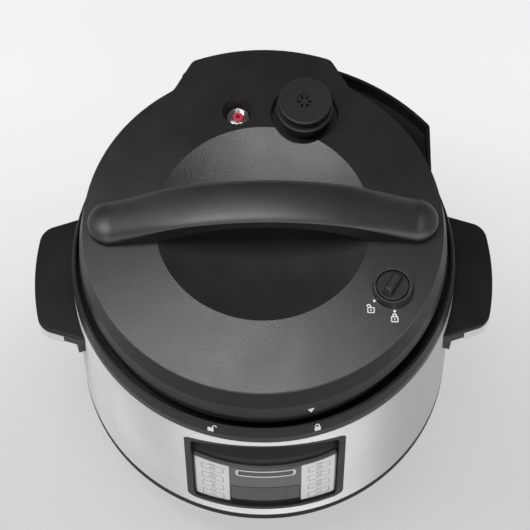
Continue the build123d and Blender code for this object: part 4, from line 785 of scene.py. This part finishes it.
class COOKER_OT_key_lines(bpy.types.Operator):
    """Print the outlines, lamps and general signs on the two strips of keys"""

    bl_idname = "cooker.key_lines"
    bl_label = "Key lines"

    def execute(self, context):
        props = context.scene.cooker_marks
        ink = ink_of("key_ink", props.key_ink, 0.4)
        for side, (middle, signs) in KEY_STRIPS.items():
            bm = bmesh.new()
            for row, sign in enumerate(signs):
                y = TOP_KEY_LEVEL - row * props.key_pitch
                key = add_bar(bm, props.key_width, props.key_height, KEY_CORNER, (middle, y), 6)
                outline(bm, key, KEY_LINE)
                lamp_level = y + props.key_height / 2 + KEY_LAMP_GAP
                add_bar(bm, *KEY_LAMP, 0.0, (middle, lamp_level), 3)
                key_sign(bm, sign, (middle, y - KEY_SIGN_DROP))
            bow(bm)
            thicken(bm)
            lay_round(bm, f"keypad_{side}", 0.0, 0.0, props.film)
            piece_from(bm, f"key_lines_{side}", ink, "base")
        return {"FINISHED"}


class COOKER_OT_badge(bpy.types.Operator):
    """Set the bare pill-shaped badge on the centre film"""

    bl_idname = "cooker.badge"
    bl_label = "Badge"

    def execute(self, context):
        props = context.scene.cooker_marks
        rim = brushed("badge_rim_bright", (0.85, 0.85, 0.85), 0.25, (0.1, 0.1, 1.0), spread=0.04)
        field = moulded("badge_field_dark", (0.03, 0.03, 0.032), 0.3, 0.0006, 0.00001)
        for name, finish, inset, proud in (
                ("badge_rim", rim, 0.0, RIM_PROUD),
                ("badge_field", field, BADGE_LINE, FIELD_PROUD)):
            bm = bmesh.new()
            width = props.badge_width - 2 * inset
            height = props.badge_height - 2 * inset
            faces = add_bar(bm, width, height, height * 0.4999, (0.0, 0.0), 24)
            if inset == 0.0:
                outline(bm, faces, BADGE_LINE + BADGE_LAP)
            bow(bm)
            thicken(bm)
            lay_round(bm, "center_overlay", BADGE_ANGLE, BADGE_LEVEL, proud)
            piece_from(bm, name, finish, "base")
        return {"FINISHED"}


class COOKER_OT_digits(bpy.types.Operator):
    """Draw the unlit digits on the display window"""

    bl_idname = "cooker.digits"
    bl_label = "Digits"

    def execute(self, context):
        props = context.scene.cooker_marks
        grey = ink_of("digit_grey", (0.05, 0.055, 0.06), 0.3)
        bm = bmesh.new()
        for middle in DIGIT_PLACES:
            for level in (-1, 0, 1):
                at = (middle, level * DIGIT_TALL / 2)
                add_bar(bm, DIGIT_WIDE - DIGIT_GAP, DIGIT_LINE, 0.0, at, 3)
            for side in (-1, 1):
                for level in (-1, 1):
                    at = (middle + side * DIGIT_WIDE / 2, level * DIGIT_TALL / 4)
                    add_bar(bm, DIGIT_LINE, DIGIT_TALL / 2 - DIGIT_GAP, 0.0, at)
        for level in (-1, 1):
            add_disc(bm, DIGIT_DOT, (0.0, level * DIGIT_TALL / 5), 16)
        thicken(bm)
        lay_round(bm, "display_window", 0.0, DIGIT_LEVEL, props.film)
        piece_from(bm, "display_digits", grey, "base")
        return {"FINISHED"}


class COOKER_OT_studio(bpy.types.Operator):
    """Set the camera, the pale floor and the soft light"""

    bl_idname = "cooker.studio"
    bl_label = "Studio"

    def execute(self, context):
        props = context.scene.cooker_studio
        scene = context.scene
        scene.view_settings.view_transform = "Standard"
        self.set_camera(scene, props)
        self.lay_floor(scene, props)
        self.hang_lamps(scene, props)
        self.paint_walls(scene, props)
        return {"FINISHED"}

    def set_camera(self, scene, props):
        """Look down on the cooker from the front."""
        view = Matrix.Rotation(props.tilt, 3, "X")
        lens = bpy.data.cameras.new("camera")
        lens.sensor_width = 36.0
        lens.lens = props.focal * lens.sensor_width
        lens.clip_end = 50.0
        camera = bpy.data.objects.new("camera", lens)
        scene.collection.objects.link(camera)
        place = Vector(VIEW_MIDDLE) + view @ Vector((0.0, 0.0, props.distance))
        turn = view @ Matrix.Rotation(props.roll, 3, "Z")
        camera.matrix_world = Matrix.Translation(place) @ turn.to_4x4()
        scene.camera = camera

    def lay_floor(self, scene, props):
        """Lay pale paper, painted darker towards the front as shade where the light falls off; it
        keeps part of its brightness in shadow where it is looked at.
        """
        material, tree, surface, place = material_on("floor_paper")
        # Painted shade: the floor's colour darkens from far to near, where the light falls off
        shade = along(tree, place, "Y", *FLOOR_SHADE_TURN)
        colors = (props.near_floor_shade, props.floor_far)
        for socket, share in (("Base Color", 1.0 - props.floor_glow), ("Emission Color", 1.0)):
            ramp = tree.nodes.new("ShaderNodeValToRGB")
            ramp.color_ramp.interpolation = "EASE"
            for element, color in zip(ramp.color_ramp.elements, colors):
                element.color = [channel * share for channel in color] + [1.0]
            tree.links.new(shade, ramp.inputs["Fac"])
            tree.links.new(ramp.outputs["Color"], surface.inputs[socket])
        surface.inputs["Roughness"].default_value = 0.8
        surface.inputs["Specular IOR Level"].default_value = 0.1
        rays = tree.nodes.new("ShaderNodeLightPath").outputs
        seen = rays["Is Camera Ray"]
        for other in ("Is Glossy Ray", "Is Transmission Ray"):
            either = tree.nodes.new("ShaderNodeMath")
            either.operation = "MAXIMUM"
            tree.links.new(seen, either.inputs[0])
            tree.links.new(rays[other], either.inputs[1])
            seen = either.outputs["Value"]
        glow = tree.nodes.new("ShaderNodeMath")
        glow.operation = "MULTIPLY"
        glow.inputs[1].default_value = props.floor_glow
        tree.links.new(seen, glow.inputs[0])
        tree.links.new(glow.outputs["Value"], surface.inputs["Emission Strength"])

        bm = bmesh.new()
        bmesh.ops.create_grid(bm, x_segments=1, y_segments=1, size=FLOOR_HALF)
        mesh = bpy.data.meshes.new("floor")
        bm.to_mesh(mesh)
        bm.free()
        floor = bpy.data.objects.new("floor", mesh)
        scene.collection.objects.link(floor)
        mesh.materials.append(material)

    def hang_lamps(self, scene, props):
        """Hang the softboxes."""
        for name, place, aim, width, depth, watts in SOFTBOXES:
            lamp = bpy.data.lights.new(name, "AREA")
            lamp.shape = "RECTANGLE"
            lamp.size = width
            lamp.size_y = depth
            lamp.energy = watts * props.lamps
            softbox = bpy.data.objects.new(name, lamp)
            toward = Vector(aim) - Vector(place)
            turn = toward.to_track_quat("-Z", "Y").to_matrix().to_4x4()
            softbox.matrix_world = Matrix.Translation(place) @ turn
            scene.collection.objects.link(softbox)

    def paint_walls(self, scene, props):
        """Put pale walls round the horizon and a dim ceiling overhead."""
        world = bpy.data.worlds.new("studio_walls")
        world.use_nodes = True
        tree = world.node_tree
        direction = tree.nodes.new("ShaderNodeTexCoord").outputs["Generated"]
        split = tree.nodes.new("ShaderNodeSeparateXYZ")
        tree.links.new(direction, split.inputs["Vector"])
        ramp = tree.nodes.new("ShaderNodeValToRGB")
        stops = ramp.color_ramp.elements
        while len(stops) < len(WALLS):
            stops.new(1.0)
        for stop, (height, level) in zip(stops, WALLS):
            stop.position = height
            stop.color = (level, level, level, 1.0)
        tree.links.new(split.outputs["Z"], ramp.inputs["Fac"])
        tree.links.new(ramp.outputs["Color"], tree.nodes["Background"].inputs["Color"])
        tree.nodes["Background"].inputs["Strength"].default_value = props.walls
        scene.world = world


class VIEW3D_PT_cooker(bpy.types.Panel):
    """The cooker's finishes, handle, knob, signs and studio"""

    bl_idname = "VIEW3D_PT_cooker"
    bl_label = "Pressure cooker"
    bl_space_type = "VIEW_3D"
    bl_region_type = "UI"
    bl_category = "Cooker"

    def draw(self, context):
        column = self.layout.column()
        for group in (getattr(context.scene, name) for name in GROUPS):
            for name in group.bl_rna.properties.keys():
                if name not in ("rna_type", "name"):
                    column.prop(group, name)
        for operator in OPERATORS:
            column.operator(operator.bl_idname)


GROUPS = {
    "cooker_finishes": CookerFinishes,
    "cooker_handle": CookerHandle,
    "cooker_knob": CookerKnob,
    "cooker_marks": CookerMarks,
    "cooker_studio": CookerStudio,
}
OPERATORS = (
    COOKER_OT_finishes,
    COOKER_OT_handle,
    COOKER_OT_knob,
    COOKER_OT_lock_signs,
    COOKER_OT_latch_signs,
    COOKER_OT_key_lines,
    COOKER_OT_badge,
    COOKER_OT_digits,
    COOKER_OT_studio,
)


def register():
    for item in (*GROUPS.values(), *OPERATORS, VIEW3D_PT_cooker):
        bpy.utils.register_class(item)
    for name, group in GROUPS.items():
        setattr(bpy.types.Scene, name, bpy.props.PointerProperty(type=group))


def unregister():
    for name in GROUPS:
        delattr(bpy.types.Scene, name)
    for item in (VIEW3D_PT_cooker, *reversed(OPERATORS), *reversed(GROUPS.values())):
        bpy.utils.unregister_class(item)


def main():
    register()
    bpy.ops.cooker.finishes()
    bpy.ops.cooker.handle()
    bpy.ops.cooker.knob()
    bpy.ops.cooker.lock_signs()
    bpy.ops.cooker.latch_signs()
    bpy.ops.cooker.key_lines()
    bpy.ops.cooker.badge()
    bpy.ops.cooker.digits()
    bpy.ops.cooker.studio()


if __name__ == "__main__":
    main()
